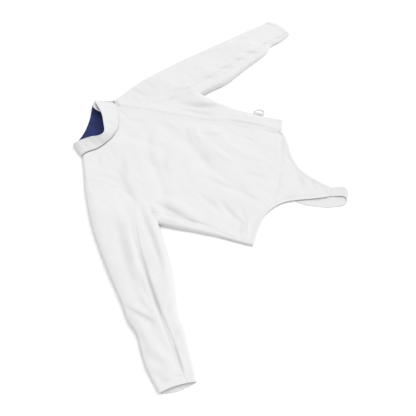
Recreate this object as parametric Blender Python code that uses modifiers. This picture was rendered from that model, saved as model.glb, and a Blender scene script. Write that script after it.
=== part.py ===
"""Fencing jacket laid front up: faceted cloth pieces as thin closed shells."""

import bpy
import bmesh
import numpy as np

MM = 0.001

# ---------------------------------------------------------------- sizes, mm
CLOTH = 1.8          # jacket cloth, two layers as one
COLLAR_WALL = 1.5
LINING = 1.0         # collar lining and neck facing
LAYER_GAP = 0.45     # between layers that lie on each other
ELASTIC = 1.6        # crotch strap
GAP = 0.4            # between neighbours at a seam
EDGE_SLACK = 0.15    # plan points this near a folded edge lie on the edge
BODY_FOLD = 4.5      # height of a body fold above the table
SLEEVE_FOLD = 7.0    # height of a sleeve fold above the table
FOLD_ROUND = 1.35    # reach of a rounded fold over its height
UNDER_ROUND = 1.4    # the same on the underside
UNDERARM_THIN = 0.42  # share of the wall eased away at the underarm point
UNDERARM_REACH = 30.0
FLY_WIDTH = 12.0     # front left margin under the fly
FLY_DROP = 2.6       # how far that margin lies below the fly face
FLY_EASE = 10.0      # where the margin is level again outside the fly
SHOULDER_SEAM = 12.0  # front turned under the shoulder fold
SIDE_TURN = 20.0     # front left turned under the side fold
BACK_TURN = 14.0     # flat of the back begins this far from its fold
FACING_DEPTH = 46.0  # neck facing inside the back
COLLAR_GAP = 0.5    # collar above its seam with the neckline
LAP = 92.0           # collar lap inside its own left end, round the neck
LAP_CLEAR = 22.0     # the outer layer ends this far from the left corner
LAP_IN = 5.5         # how far the lapped layer lies inside
UNDER_SEAM = 0.55    # under face seam: share across from the outer edge
MIDDLE = (-1.0, 48.4)  # the tables' x and y at the middle of the finished box
RING_WIRE = 3.0      # D-ring wire diameter
RING_WIDTH = 36.0    # D-ring over its straight bar, wire centres
RING_REACH = 21.0    # bar centre to the far arch, wire centres
RING_PLACE = (241.5, -73.0, 4.6)   # bar centre: x, y, z
RING_CORNER = 3.0    # radius where the bar turns into the arch
RING_DROOP = 0.13    # the arch hangs to the table
TAB_WIDTH = 27.0
TAB_WALL = 1.0
TAB_CLEAR = 0.45     # tab loop round the wire
TAB_ENDS = -7.6      # tab's two ends behind the bar
TAB_STRAIGHT = -3.5  # the loop tapers behind this

# ------------------------------------------------- outlines, mm: x, y a row
RIGHT_SIDE = [(-266, -162), (-265, -111), (-264, -54), (-267, 20), (-271, 76),
              (-272, 127)]
RIGHT_INNER = [(-272, 127), (-350, 73), (-424, 32), (-516, -10), (-548, -34),
               (-609, -70), (-672, -106)]
RIGHT_UPPER = [(-100, 450), (-180, 409), (-218, 390), (-335, 317), (-444, 229),
               (-529, 152), (-572, 117), (-602, 80), (-642, 53), (-680, 24),
               (-724, -22)]
RIGHT_ARMHOLE = [(-272, 127), (-245, 166), (-210, 219), (-188, 278),
                 (-184, 340), (-180, 409)]
RIGHT_SEAM = [(-258, -162), (-255, -100), (-250, -55), (-240, -20), (-236, 47),
              (-240, 110), (-245, 166)]
LEFT_SIDE = [(235, -158), (231, -105), (231, -50), (236, 10), (245, 60),
             (266, 143)]
LEFT_INNER = [(266, 143), (303, 113), (350, 70), (416, 34), (460, 10),
              (539, -35), (588, -48), (629, -80), (672, -104)]
LEFT_UPPER = [(158, 440), (186, 422), (224, 402), (283, 363), (392, 280),
              (565, 129), (642, 62), (678, 28), (722, -8)]
LEFT_ARMHOLE = [(266, 143), (253, 178), (222, 222), (190, 272), (184, 340),
                (186, 422)]
CLOSURE = [(176, -166), (181, -103), (175, -55), (168, 15), (155, 88),
           (147, 168), (141, 250), (137, 330), (133, 414)]
NECK_FRONT = [(-100, 450), (-83, 438), (-61, 411), (-37, 394), (-13, 382),
              (12, 376), (39, 374), (81, 386), (133, 414), (158, 440)]
NECK_BACK = [(-100, 450), (-70, 449), (-40, 445), (9, 440), (60, 441),
             (120, 444), (158, 440)]
HEM_TO_TAIL = [(-258, -162), (-204, -166), (-160, -174), (-132, -188),
               (-110, -206), (-92, -228), (-78, -256), (-64, -292),
               (-50, -328), (-37, -356)]
TAIL_END = [(-37, -356), (-1, -354)]
TAIL_TO_HEM = [(-1, -354), (8, -322), (20, -288), (36, -260), (58, -236),
               (95, -211), (156, -183), (176, -166)]
HEM_BACK = [(-254, -161), (-204, -162), (-150, -170), (-96, -188), (-21, -191),
            (85, -187), (145, -171), (215, -157)]

# collar rim, mm: x, y, z from the right corner round the front to the left
RIM_FRONT = [(-60, 501, 9), (-60, 496, 16), (-57, 484, 26), (-47, 461, 38), (-38, 436, 47),
             (-29, 411, 52), (-10, 400, 54), (25, 414, 54), (65, 438, 50),
             (108, 477, 35), (136, 499, 19), (141, 505, 9)]
RIM_BACK = [(-60, 501, 9), (-56, 501, 4), (-47, 500, 1.2), (-32, 498, 0.3),
            (9, 487, 0.2), (63, 492, 0.2), (112, 505, 0.3), (128, 507, 1.2),
            (137, 507, 4), (141, 505, 9)]

# crotch strap, mm: far edge x, y, z then near edge x, y, z a row
STRAP = [
    (-3, -345, 0.9, -35, -345, 0.9),
    (-1, -362, 1.0, -35, -363, 1.0),
    (1, -377, 4.6, -35, -379, 5.4),
    (0, -391, 9.5, -37, -393, 11.5),
    (-3, -403, 11.0, -42, -404, 13.5),
    (-8, -409, 8.6, -48, -410, 11.0),
    (-13, -409, 4.6, -53, -408, 7.0),
    (-19, -402, 2.2, -58, -399, 3.4),
    (-30, -385, 1.7, -67, -382, 2.0),
    (-40, -358, 1.7, -77, -355, 1.7),
    (-44, -325, 1.7, -81, -322, 1.7),
    (-46, -288, 1.7, -83, -287, 1.7),
    (-41, -255, 1.7, -77, -252, 1.7),
    (-30, -222, 1.7, -63, -219, 1.7),
    (-14, -192, 1.7, -48, -192, 1.7),
]

# height of the top face, mm: y then height over the body
BODY_LOFT = [(-356, 5.6), (-300, 6.0), (-240, 7.4), (-190, 9.6), (-150, 11.0),
             (-60, 14.0), (60, 17.5), (200, 20.0), (330, 21.0), (450, 20.0)]
# distance from the middle line then height over the sleeves
SLEEVE_LOFT = [(150, 21), (280, 27), (420, 25), (560, 23), (660, 19), (722, 15)]
SLEEVE_FROM = 150.0
SLEEVE_FULL = 270.0

# main folds, mm: x and y of start, middle and end, half width, height
FOLDS = [
    (-262, 232, -338, 190, -420, 118, 17, -3.4),
    (-300, 212, -380, 150, -455, 92, 20, 2.6),
    (-400, 140, -470, 120, -520, 60, 14, -3.6),
    (-560, 60, -600, 20, -640, -30, 16, -2.2),
    (300, 250, 400, 190, 520, 80, 18, -3.0),
    (330, 170, 420, 90, 560, 20, 15, 3.0),
    (20, 330, 8, 250, -12, 190, 18, -2.2),
    (92, 230, 40, 130, -10, 40, 20, -2.6),
    (-20, 60, -70, -20, -90, -90, 18, -2.4),
    (-60, 230, -110, 170, -225, 120, 16, -2.8),
    (120, 60, 60, -20, 40, -110, 20, 1.8),
]

# ------------------------------------------------------------ mesh division
SIDE_ROWS = 10
TURN_CELLS = 4
ARM_LOW = 3
ARM_HIGH = 6
ARM_BACK = 4
SHOULDER_CELLS = 2
SLEEVE_ROWS = 13
NECK_CELLS = 13
COLLAR_ROWS = 3

# finishes: colour, roughness, metallic
WHITE_COTTON = ((0.86, 0.86, 0.87, 1.0), 0.85, 0.0)
BLUE_LINING = ((0.035, 0.07, 0.30, 1.0), 0.80, 0.0)
WHITE_ELASTIC = ((0.86, 0.86, 0.87, 1.0), 0.75, 0.0)
NICKEL_WIRE = ((0.62, 0.62, 0.62, 1.0), 0.35, 1.0)


# ------------------------------------------------------------------- lines
def respace(line, fractions):
    """Points of a line at the given fractions of its length."""
    line = np.asarray(line, float)
    step = np.linalg.norm(np.diff(line, axis=0), axis=1)
    length = np.concatenate([[0.0], np.cumsum(step)]) / step.sum()
    columns = [np.interp(fractions, length, line[:, k])
               for k in range(line.shape[1])]
    return np.column_stack(columns)


def spline(points, count=161):
    """Smooth line through the points, evenly spaced by length."""
    p = np.asarray(points, float)
    p = np.vstack([2 * p[0] - p[1], p, 2 * p[-1] - p[-2]])
    t = np.linspace(0.0, 1.0, 24, endpoint=False)[:, None]
    runs = []
    for k in range(len(p) - 3):
        a, b, c, d = p[k], p[k + 1], p[k + 2], p[k + 3]
        runs.append(0.5 * (2 * b + (c - a) * t
                           + (2 * a - 5 * b + 4 * c - d) * t ** 2
                           + (3 * b - a - 3 * c + d) * t ** 3))
    runs.append(p[-2:-1])
    return respace(np.vstack(runs), np.linspace(0.0, 1.0, count))


def length_of(line):
    return np.linalg.norm(np.diff(line, axis=0), axis=1).sum()


def nearest_fraction(line, point):
    """Fraction of an evenly spaced line closest to a point."""
    gaps = np.linalg.norm(line - np.asarray(point, float), axis=1)
    return gaps.argmin() / (len(line) - 1)


def distance_to(points, line):
    """Plan distance of points from a polyline."""
    flat = points.reshape(-1, 2)
    a = line[:-1]
    ab = line[1:] - a
    ap = flat[:, None, :] - a[None, :, :]
    along = np.clip((ap * ab).sum(2) / (ab * ab).sum(1), 0.0, 1.0)
    off = ap - along[..., None] * ab
    return np.sqrt((off * off).sum(2).min(1)).reshape(points.shape[:-1])


def even(cells):
    return np.linspace(0.0, 1.0, cells + 1)


def eased(cells, power=2.0):
    """Fractions that crowd towards zero."""
    return even(cells) ** power


# ------------------------------------------------- the folded edges in plan
right_upper = spline(RIGHT_UPPER, 321)
left_upper = spline(LEFT_UPPER, 321)
right_top = nearest_fraction(right_upper, RIGHT_ARMHOLE[-1])
left_top = nearest_fraction(left_upper, LEFT_ARMHOLE[-1])
right_shoulder = respace(right_upper, np.linspace(right_top, 0.0, 61))
left_shoulder = respace(left_upper, np.linspace(left_top, 0.0, 61))
right_outer = respace(right_upper, np.linspace(right_top, 1.0, 241))
left_outer = respace(left_upper, np.linspace(left_top, 1.0, 241))
right_side = spline(RIGHT_SIDE)
left_side = spline(LEFT_SIDE)
right_inner = spline(RIGHT_INNER)
left_inner = spline(LEFT_INNER)
right_armhole = spline(RIGHT_ARMHOLE[:-1] + [tuple(right_shoulder[0])])
left_armhole = spline(LEFT_ARMHOLE[:-1] + [tuple(left_shoulder[0])])
neck_front = spline(NECK_FRONT)
neck_back = spline(NECK_BACK)
EDGES = [np.vstack([right_side, right_inner[1:]]), right_upper,
         np.vstack([left_side, left_inner[1:]]), left_upper]


def rounding(distance, reach):
    """Quarter round: 0 at a folded edge, 1 from its reach inwards."""
    t = np.clip(distance / reach, 0.0, 1.0)
    return np.sqrt(1.0 - (1.0 - t) ** 2)


def loft(plan):
    """Height of the top face away from folded edges, and the fold height."""
    x, y = plan[..., 0], plan[..., 1]
    body = np.interp(y, *np.transpose(BODY_LOFT))
    sleeve = np.interp(np.abs(x), *np.transpose(SLEEVE_LOFT))
    t = np.clip((np.abs(x) - SLEEVE_FROM) / (SLEEVE_FULL - SLEEVE_FROM), 0, 1)
    t = t * t * (3 - 2 * t) * np.clip((y + 140) / 120 + (np.abs(x) > 300), 0, 1)
    high = body * (1 - t) + sleeve * t
    for x0, y0, x1, y1, x2, y2, width, rise in FOLDS:
        s = even(8)[:, None]
        line = ((1 - s) ** 2 * np.array([x0, y0]) + s ** 2 * np.array([x2, y2])
                + 2 * s * (1 - s) * np.array([x1, y1]))
        high = high + rise * np.exp(-(distance_to(plan, line) / width) ** 2)
    fold = BODY_FOLD + (SLEEVE_FOLD - BODY_FOLD) * t
    return high, fold


def lay(plan, face, drop=0.0):
    """Plan points in mm put on the top (1) or under (-1) face, in metres."""
    high, fold = loft(plan)
    z = 1.0
    for edge in EDGES:
        gap = np.maximum(distance_to(plan, edge) - EDGE_SLACK, 0.0)
        reach = FOLD_ROUND * (high - fold) if face > 0 else UNDER_ROUND * fold
        z = z * rounding(gap, np.maximum(reach, 4.0))
    z = fold + (high - fold) * z - drop if face > 0 else fold * (1.0 - z)
    grid = np.dstack([plan[..., 0], plan[..., 1], z]) * MM
    turn = np.cross(plan[1:, :-1] - plan[:-1, :-1], plan[:-1, 1:] - plan[:-1, :-1])
    if turn.sum() * face > 0:
        grid = grid[:, ::-1]
    return grid


def patch(left, right, bottom, top):
    """Plan grid filled between four lines that meet at their ends."""
    def share(a, b):
        step = (np.linalg.norm(np.diff(a, axis=0), axis=1)
                + np.linalg.norm(np.diff(b, axis=0), axis=1))
        return np.concatenate([[0.0], np.cumsum(step)]) / step.sum()
    v = share(left, right)[:, None, None]
    u = share(bottom, top)[None, :, None]
    corner = ((1 - u) * (1 - v) * bottom[0] + u * (1 - v) * bottom[-1]
              + (1 - u) * v * top[0] + u * v * top[-1])
    return ((1 - v) * bottom[None] + v * top[None]
            + (1 - u) * left[:, None] + u * right[:, None] - corner)


def between(first, last, fractions):
    """Straight row of points from first to last."""
    f = np.asarray(fractions)[:, None]
    return (1 - f) * np.asarray(first) + f * np.asarray(last)


# ------------------------------------------------------------------ objects
collection = bpy.data.collections.new("FencingJacket")
bpy.context.scene.collection.children.link(collection)
for old in list(bpy.data.objects):
    bpy.data.objects.remove(old, do_unlink=True)


def add_object(name, data, finish, place=(0.0, 0.0, 0.0)):
    """Object with its own material; the place is in the tables' frame, mm."""
    colour, rough, metal = finish
    mat = bpy.data.materials.new(name)
    mat.use_nodes = True
    node = mat.node_tree.nodes["Principled BSDF"]
    node.inputs["Base Color"].default_value = colour
    node.inputs["Roughness"].default_value = rough
    node.inputs["Metallic"].default_value = metal
    data.materials.append(mat)
    item = bpy.data.objects.new(name, data)
    x, y, z = place
    item.location = ((x - MIDDLE[0]) * MM, (y - MIDDLE[1]) * MM, z * MM)
    collection.objects.link(item)
    return item


def sheet(name, grid, wall, finish):
    """Open surface on a grid of points in metres, thickened inwards."""
    ids = np.arange(grid.shape[0] * grid.shape[1]).reshape(grid.shape[:2])
    quads = np.stack([ids[:-1, :-1], ids[:-1, 1:], ids[1:, 1:], ids[1:, :-1]], -1)
    mesh = bpy.data.meshes.new(name)
    mesh.from_pydata(grid.reshape(-1, 3).tolist(), [], quads.reshape(-1, 4).tolist())
    mesh.shade_smooth()
    solid = add_object(name, mesh, finish).modifiers.new("Wall", "SOLIDIFY")
    solid.thickness = wall * MM
    solid.offset = -1.0
    solid.use_even_offset = False


def spot(point):
    """Key that is the same for points laid twice at one place."""
    return tuple(np.round(point / 4e-6).astype(int))


def welded(grids):
    """Points, faces and point keys of grids that share edges."""
    points, index, faces = [], {}, []
    for grid in grids:
        rows, cols = grid.shape[:2]
        ids = np.empty((rows, cols), int)
        for r in range(rows):
            for c in range(cols):
                key = spot(grid[r, c])
                if key not in index:
                    index[key] = len(points)
                    points.append(grid[r, c])
                ids[r, c] = index[key]
        for r in range(rows - 1):
            for c in range(cols - 1):
                ring = [ids[r, c], ids[r, c + 1], ids[r + 1, c + 1], ids[r + 1, c]]
                ring = [v for k, v in enumerate(ring) if v != ring[k - 1]]
                if len(ring) > 2:
                    faces.append(ring)
    return np.array(points), faces, list(index)


def face_normals(points, faces):
    """Area-weighted normal sum at each point."""
    normal = np.zeros_like(points)
    for ring in faces:
        corner = points[ring]
        across = np.cross(corner[2] - corner[0], corner[-1] - corner[1])
        for v in ring:
            normal[v] += across
    return normal


def cut_piece(name, grids, finish, shared):
    """Closed jacket piece: outer face from the grids, wall inwards."""
    points, faces, keys = welded(grids)
    owner = {}
    for f, ring in enumerate(faces):
        for k, v in enumerate(ring):
            owner[(v, ring[(k + 1) % len(ring)])] = f
    rim = [edge for edge in owner if (edge[1], edge[0]) not in owner]
    pull = np.zeros_like(points)
    for a, b in rim:
        ring = faces[owner[(a, b)]]
        inward = points[ring].mean(0) - (points[a] + points[b]) / 2
        along = points[b] - points[a]
        along = along / np.linalg.norm(along)
        inward = inward - along * inward.dot(along)
        inward = inward / np.linalg.norm(inward)
        for v in (a, b):
            share = pull[v].dot(inward) / max(pull[v].dot(pull[v]), 1e-12)
            pull[v] = pull[v] + inward * (1 - np.clip(share, 0, 1))
    outer = points + pull * GAP * MM / 2
    outer[:, 2] = np.maximum(outer[:, 2], 0.0)
    normal = np.array([shared[key] for key in keys])
    normal /= np.linalg.norm(normal, axis=1)[:, None]
    reach = np.min([np.linalg.norm(outer[:, :2] - np.array(line[0]) * MM, axis=1)
                    for line in (RIGHT_INNER, LEFT_INNER)], axis=0)
    thin = 1 - UNDERARM_THIN * np.clip(1 - reach / (UNDERARM_REACH * MM), 0, 1)
    inner = outer - normal * (CLOTH * thin)[:, None] * MM
    inner[:, 2] = np.maximum(inner[:, 2], 0.0)
    n = len(points)
    solid = faces + [[v + n for v in reversed(ring)] for ring in faces]
    solid += [[b, a, a + n, b + n] for a, b in rim]
    mesh = bpy.data.meshes.new(name)
    mesh.from_pydata(np.vstack([outer, inner]).tolist(), [], solid)
    work = bmesh.new()
    work.from_mesh(mesh)
    bmesh.ops.triangulate(work, faces=work.faces[:])
    bmesh.ops.recalc_face_normals(work, faces=work.faces[:])
    work.to_mesh(mesh)
    work.free()
    mesh.shade_smooth()
    add_object(name, mesh, finish)


# --------------------------------------- points shared along each armhole
def armhole_marks(line, seam_share, under_seam, turn, under_turn):
    """Fractions up an armhole on the top face and on the under face."""
    total = length_of(line)
    low, low_under = turn / total, under_turn / total
    high = 1.0 - SHOULDER_SEAM / total
    top = [low * eased(TURN_CELLS),
           low + (seam_share - low) * even(ARM_LOW)[1:],
           1 - (1 - seam_share) * eased(ARM_HIGH, 1.9)[::-1][1:]]
    under = [low_under * eased(TURN_CELLS),
             low_under + (under_seam - low_under) * even(ARM_LOW)[1:],
             under_seam + (high - under_seam) * even(ARM_BACK)[1:],
             1 - (1 - high) * eased(SHOULDER_CELLS, 1.6)[::-1][1:]]
    return np.concatenate(top), np.concatenate(under)


right_turn = nearest_fraction(right_armhole, RIGHT_SEAM[-1]) * length_of(right_armhole)
right_marks, right_under = armhole_marks(right_armhole, 0.40, 0.45, right_turn, BACK_TURN)
left_marks, left_under = armhole_marks(left_armhole, 0.38, 0.45, SIDE_TURN, SIDE_TURN)
right_arm_top = respace(right_armhole, right_marks)
right_arm_under = respace(right_armhole, right_under)
left_arm_top = respace(left_armhole, left_marks)
left_arm_under = respace(left_armhole, left_under)

side_share = even(SIDE_ROWS)
right_fold = respace(right_side, side_share)
left_fold = respace(left_side, side_share)
right_seam = respace(spline(RIGHT_SEAM[:-1] + [tuple(right_arm_top[TURN_CELLS])]),
                     side_share)

# ---------------------------------------------------- necklines and closure
closure_top = nearest_fraction(neck_front, CLOSURE[-1])
neck_step = FLY_WIDTH / length_of(neck_front)
neck_ease = closure_top + FLY_EASE / length_of(neck_front)
neck_main = np.concatenate([
    0.5 * closure_top * eased(NECK_CELLS // 2 + 1, 1.6),
    closure_top * (0.5 + 0.5 * even(NECK_CELLS // 2 + 1)[1:])])
neck_right = respace(neck_front, neck_main)
neck_left_marks = np.concatenate([
    np.linspace(neck_ease, 0.97, 2), [0.99, 0.998, 1.0]])
neck_left = respace(neck_front, neck_left_marks)
back_margin = SHOULDER_SEAM / length_of(neck_back)

# ------------------------------------------------------------------- front
shoulder_right = respace(right_shoulder, even(4))
hem_tail = respace(spline(HEM_TO_TAIL), even(8))
tail_end = respace(TAIL_END, even(3))
tail_hem = respace(spline(TAIL_TO_HEM), even(len(shoulder_right) + len(neck_right)
                                             - 1 - 8 - 3 - 1))
front_bottom = np.vstack([hem_tail, tail_end[1:], tail_hem[1:]])
front_top = np.vstack([shoulder_right, neck_right[1:]])
front_left_line = np.vstack([right_seam, right_arm_top[TURN_CELLS + 1:]])
step = np.linalg.norm(np.diff(front_left_line, axis=0), axis=1)
front_share = np.concatenate([[0.0], np.cumsum(step)]) / step.sum()
closure_line = spline(CLOSURE[:-1] + [tuple(neck_right[-1])])
front_right_line = respace(closure_line, front_share)
front_plan = patch(front_left_line, front_right_line, front_bottom, front_top)


neck_turn = respace(neck_back, back_margin * eased(SHOULDER_CELLS, 1.6))
arm_turn = right_arm_under[::-1][:SHOULDER_CELLS + 1]
right_seam_under = between(arm_turn[-1], neck_turn[-1], even(4))
right_turned = patch(arm_turn, neck_turn, shoulder_right, right_seam_under)
cloth = {"front": [lay(front_plan, 1), lay(right_turned, -1)]}

# -------------------------------------------------------------- front left
left_rows = np.vstack([left_fold, left_arm_top[1:]])
step = np.linalg.norm(np.diff(left_rows, axis=0), axis=1)
left_share = np.concatenate([[0.0], np.cumsum(step)]) / step.sum()


def beside_closure(shift, rise, end):
    """Line beside the closure from the hem up to a neckline point."""
    line = closure_line + [shift, 0.0]
    line = line[(line[:, 1] > CLOSURE[0][1] + rise) & (line[:, 1] < end[1] - 8)]
    first = [CLOSURE[0][0] + shift, CLOSURE[0][1] + rise]
    return respace(np.vstack([first, line, end]), left_share)


margin_in = beside_closure(-FLY_WIDTH, 3, respace(neck_front,
                                                  [closure_top - neck_step])[0])
margin_out = beside_closure(FLY_EASE, 1, neck_left[0])
fly_marks = np.array([0.0, 0.45, 0.60, 0.80, 1.0])
fly_drop = FLY_DROP * np.array([1.0, 1.0, 0.95, 0.40, 0.0])
fly_bottom = between(margin_in[0], margin_out[0], fly_marks)
fly_top = respace(neck_front, closure_top - neck_step
                  + (neck_ease - closure_top + neck_step) * fly_marks)
fly_plan = patch(margin_in, margin_out, fly_bottom, fly_top)
shoulder_left = respace(left_shoulder, even(3))
left_top_line = np.vstack([neck_left, shoulder_left[::-1][1:]])
cells = len(left_top_line) - 1
left_bottom = between(margin_out[0], left_fold[0], 1 - eased(cells, 1.7)[::-1])
left_plan = patch(margin_out, left_rows, left_bottom, left_top_line)
left_seam_x = left_side - [SIDE_TURN, 0.0]
left_seam_under = respace(np.vstack([left_seam_x[:-12], left_arm_under[TURN_CELLS]]),
                          side_share)
left_turned = patch(left_fold, left_seam_under,
                    between(left_fold[0], left_seam_under[0], eased(TURN_CELLS)),
                    left_arm_under[:TURN_CELLS + 1])
neck_turn_left = respace(neck_back, 1 - back_margin * eased(SHOULDER_CELLS, 1.6))
arm_turn_left = left_arm_under[::-1][:SHOULDER_CELLS + 1]
left_seam_shoulder = between(arm_turn_left[-1], neck_turn_left[-1], even(3))
left_shoulder_turned = patch(arm_turn_left, neck_turn_left, shoulder_left,
                             left_seam_shoulder)
cloth["front_left"] = [lay(fly_plan, 1, fly_drop[None, :]), lay(left_plan, 1),
                       lay(left_turned, -1), lay(left_shoulder_turned, -1)]

# -------------------------------------------------------------------- back
turned_top = patch(right_fold, right_seam,
                   between(right_fold[0], right_seam[0], eased(TURN_CELLS)),
                   right_arm_top[:TURN_CELLS + 1])
right_flat_x = right_side + [BACK_TURN, 0.0]
right_flat = respace(np.vstack([right_flat_x[:-12], right_arm_under[TURN_CELLS]]),
                     side_share)
turned_under = patch(right_fold, right_flat,
                     between(right_fold[0], right_flat[0], eased(TURN_CELLS)),
                     right_arm_under[:TURN_CELLS + 1])
arm_rows = slice(TURN_CELLS + 1, TURN_CELLS + 1 + ARM_LOW + ARM_BACK)
back_right = np.vstack([right_flat, right_arm_under[arm_rows]])
back_left = np.vstack([left_seam_under, left_arm_under[arm_rows]])
neck_span = respace(neck_back, back_margin + (1 - 2 * back_margin) * even(9))
back_top = np.vstack([right_seam_under, neck_span[1:], left_seam_shoulder[::-1][1:]])
hem_back = spline([tuple(right_flat[0])] + HEM_BACK[1:-1] + [tuple(left_seam_under[0])])
back_bottom = respace(hem_back, even(len(back_top) - 1))
back_plan = patch(back_right, back_left, back_bottom, back_top)
cloth["back"] = [lay(turned_top, 1), lay(turned_under, -1), lay(back_plan, -1)]

# ----------------------------------------------------------------- sleeves
sleeve_share = even(SLEEVE_ROWS)


def sleeve(side, armhole, marks_top, marks_under, outer, inner, seam_share):
    """Top and under sleeve as two shells that meet at two long seams."""
    first = TURN_CELLS + ARM_LOW
    outer_rows = respace(outer, sleeve_share)
    inner_rows = respace(inner, sleeve_share)
    share = np.interp(sleeve_share, *np.transpose(seam_share))[:, None]
    seam_top = outer_rows + (inner_rows - outer_rows) * share
    seam_under = outer_rows + (inner_rows - outer_rows) * UNDER_SEAM
    ease = (1 - sleeve_share[:, None]) ** 4
    seam_top += (marks_top[first] - seam_top[0]) * ease
    seam_under += (marks_under[first] - seam_under[0]) * ease

    def part(fold, seam, arm, face):
        cells = len(arm) - 1
        cuff = between(fold[-1], seam[-1], eased(cells, 1.5))
        return lay(patch(fold, seam, arm, cuff), face)

    top_out = part(outer_rows, seam_top, marks_top[first:][::-1], 1)
    under_out = part(outer_rows, seam_under, marks_under[first:][::-1], -1)
    top_in = part(inner_rows, seam_top, marks_top[:first + 1], 1)
    under_in = part(inner_rows, seam_under, marks_under[:first + 1], -1)
    cloth[side + "_top_sleeve"] = [top_out, under_out]
    cloth[side + "_under_sleeve"] = [top_in, under_in]


# sleeve seam: share of the way down the sleeve, share across from outer edge
RIGHT_SEAM_SHARE = [(0.0, 0.60), (0.3, 0.61), (0.5, 0.66), (0.7, 0.73), (1.0, 0.77)]
LEFT_SEAM_SHARE = [(0.0, 0.62), (0.2, 0.70), (0.5, 0.77), (0.8, 0.84), (1.0, 0.88)]
sleeve("right", right_armhole, right_arm_top, right_arm_under, right_outer,
       right_inner, RIGHT_SEAM_SHARE)
sleeve("left", left_armhole, left_arm_top, left_arm_under, left_outer,
       left_inner, LEFT_SEAM_SHARE)

# pieces that meet at a seam lean their walls the same way there
seam_normals = {}
for grids in cloth.values():
    points, faces, keys = welded(grids)
    for key, normal in zip(keys, face_normals(points, faces)):
        seam_normals[key] = seam_normals.get(key, 0.0) + normal
for name, grids in cloth.items():
    cut_piece(name, grids, WHITE_COTTON, seam_normals)

# ------------------------------------------------------------------ collar

def collar_run(marks, line, rim, face):
    """Base and rim points of one run of the collar, in mm."""
    base = respace(line, marks)
    grid = lay(np.stack([base, base + [0.0, 1.0]]), face)[0] / MM
    if abs(grid[0, 0] - base[0, 0]) > 1e-6:
        grid = grid[::-1]
    return np.stack([grid, respace(spline(rim), marks)])


def run_normal(run):
    """Outward normal of a run between its base and rim."""
    along = np.gradient(run.mean(0), axis=0)
    normal = np.cross(along, run[1] - run[0])
    return normal / np.linalg.norm(normal, axis=1)[:, None]


def collar_band():
    """Outer face of the collar as a grid of rows from base to rim, metres."""
    around = length_of(neck_front)
    end = 1 - LAP_CLEAR / around
    front_marks = np.concatenate([neck_main[:-1], np.linspace(closure_top, end, 3)])
    back_marks = np.concatenate([
        0.5 * eased(6, 1.9), 1 - 0.5 * eased(6, 1.9)[::-1][1:]])
    lap_marks = np.concatenate([np.linspace(1 - LAP / around, end, 4),
                                1 - (1 - end) * eased(4, 1.7)[::-1][1:]])
    lap = collar_run(lap_marks, neck_front, RIM_FRONT, 1)
    back = collar_run(back_marks[::-1][1:], neck_back, RIM_BACK, -1)
    front = collar_run(front_marks[1:], neck_front, RIM_FRONT, 1)
    fade = np.clip((1 - lap_marks) / (1 - end), 0, 1)[:, None]
    lap = lap - run_normal(lap) * fade * LAP_IN
    line = np.concatenate([lap, back, front], axis=1)
    slope = line[1] - line[0]
    slope = slope / np.linalg.norm(slope, axis=1)[:, None]
    low = line[0] + slope * COLLAR_GAP
    share = even(COLLAR_ROWS)[:, None, None]
    return (low + (line[1] - low) * share) * MM


band = collar_band()
sheet("collar", band, COLLAR_WALL, WHITE_COTTON)


def inward_copy(grid, depth):
    """Grid moved inwards from its face by a depth in mm."""
    across = np.gradient(grid, axis=1)
    along = np.gradient(grid, axis=0)
    normal = np.cross(across, along)
    normal = normal / np.linalg.norm(normal, axis=2, keepdims=True)
    return grid - normal * depth * MM


lining = inward_copy(band, COLLAR_WALL + LAYER_GAP)
sheet("collar_lining", lining, LINING, BLUE_LINING)

# ------------------------------------------------ neck facing inside the back
facing_top = respace(neck_back, np.linspace(0.14, 0.86, 10)) - [0.0, 1.5]
facing_low = facing_top - [0.0, FACING_DEPTH]
facing_plan = patch(between(facing_low[0], facing_top[0], even(2)),
                    between(facing_low[-1], facing_top[-1], even(2)),
                    facing_low, facing_top)
facing = lay(facing_plan, -1) + [0.0, 0.0, (CLOTH + LAYER_GAP) * MM]
sheet("neck_facing", facing, LINING, BLUE_LINING)

# ------------------------------------------------------------ crotch strap
strap = np.array(STRAP, float)
far_edge, near_edge = spline(strap[:, :3], 29), spline(strap[:, 3:], 29)
share = even(3)[:, None, None]
strap_grid = (far_edge + (near_edge - far_edge) * share) * MM
sheet("crotch_strap", strap_grid, ELASTIC, WHITE_ELASTIC)


# -------------------------------------------------------- ring and its tab
def ring_outline():
    """Wire centre line of the D, from the bar's middle, in mm."""
    half = RING_WIDTH / 2
    angle = np.linspace(-np.pi / 2, np.pi / 2, 15)
    reach = RING_REACH - RING_CORNER
    arch = np.column_stack([RING_CORNER + reach * np.cos(angle), half * np.sin(angle)])
    turn = np.linspace(0, np.pi / 2, 4)[1:]
    corner = np.column_stack([RING_CORNER * (1 - np.sin(turn)),
                              half - RING_CORNER * (1 - np.cos(turn))])
    bar = np.array([(0.0, half / 3), (0.0, -half / 3)])
    return np.vstack([arch, corner, bar, corner[::-1] * [1, -1]])


wire = bpy.data.curves.new("d_ring", "CURVE")
wire.dimensions = "3D"
wire.bevel_depth = RING_WIRE / 2 * MM
wire.bevel_resolution = 2
loop = wire.splines.new("POLY")
outline = ring_outline()
loop.points.add(len(outline) - 1)
for point, (out, across) in zip(loop.points, outline):
    point.co = (out * np.cos(RING_DROOP) * MM, across * MM,
                -out * np.sin(RING_DROOP) * MM, 1.0)
loop.use_cyclic_u = True
add_object("d_ring", wire, NICKEL_WIRE, RING_PLACE)

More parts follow.
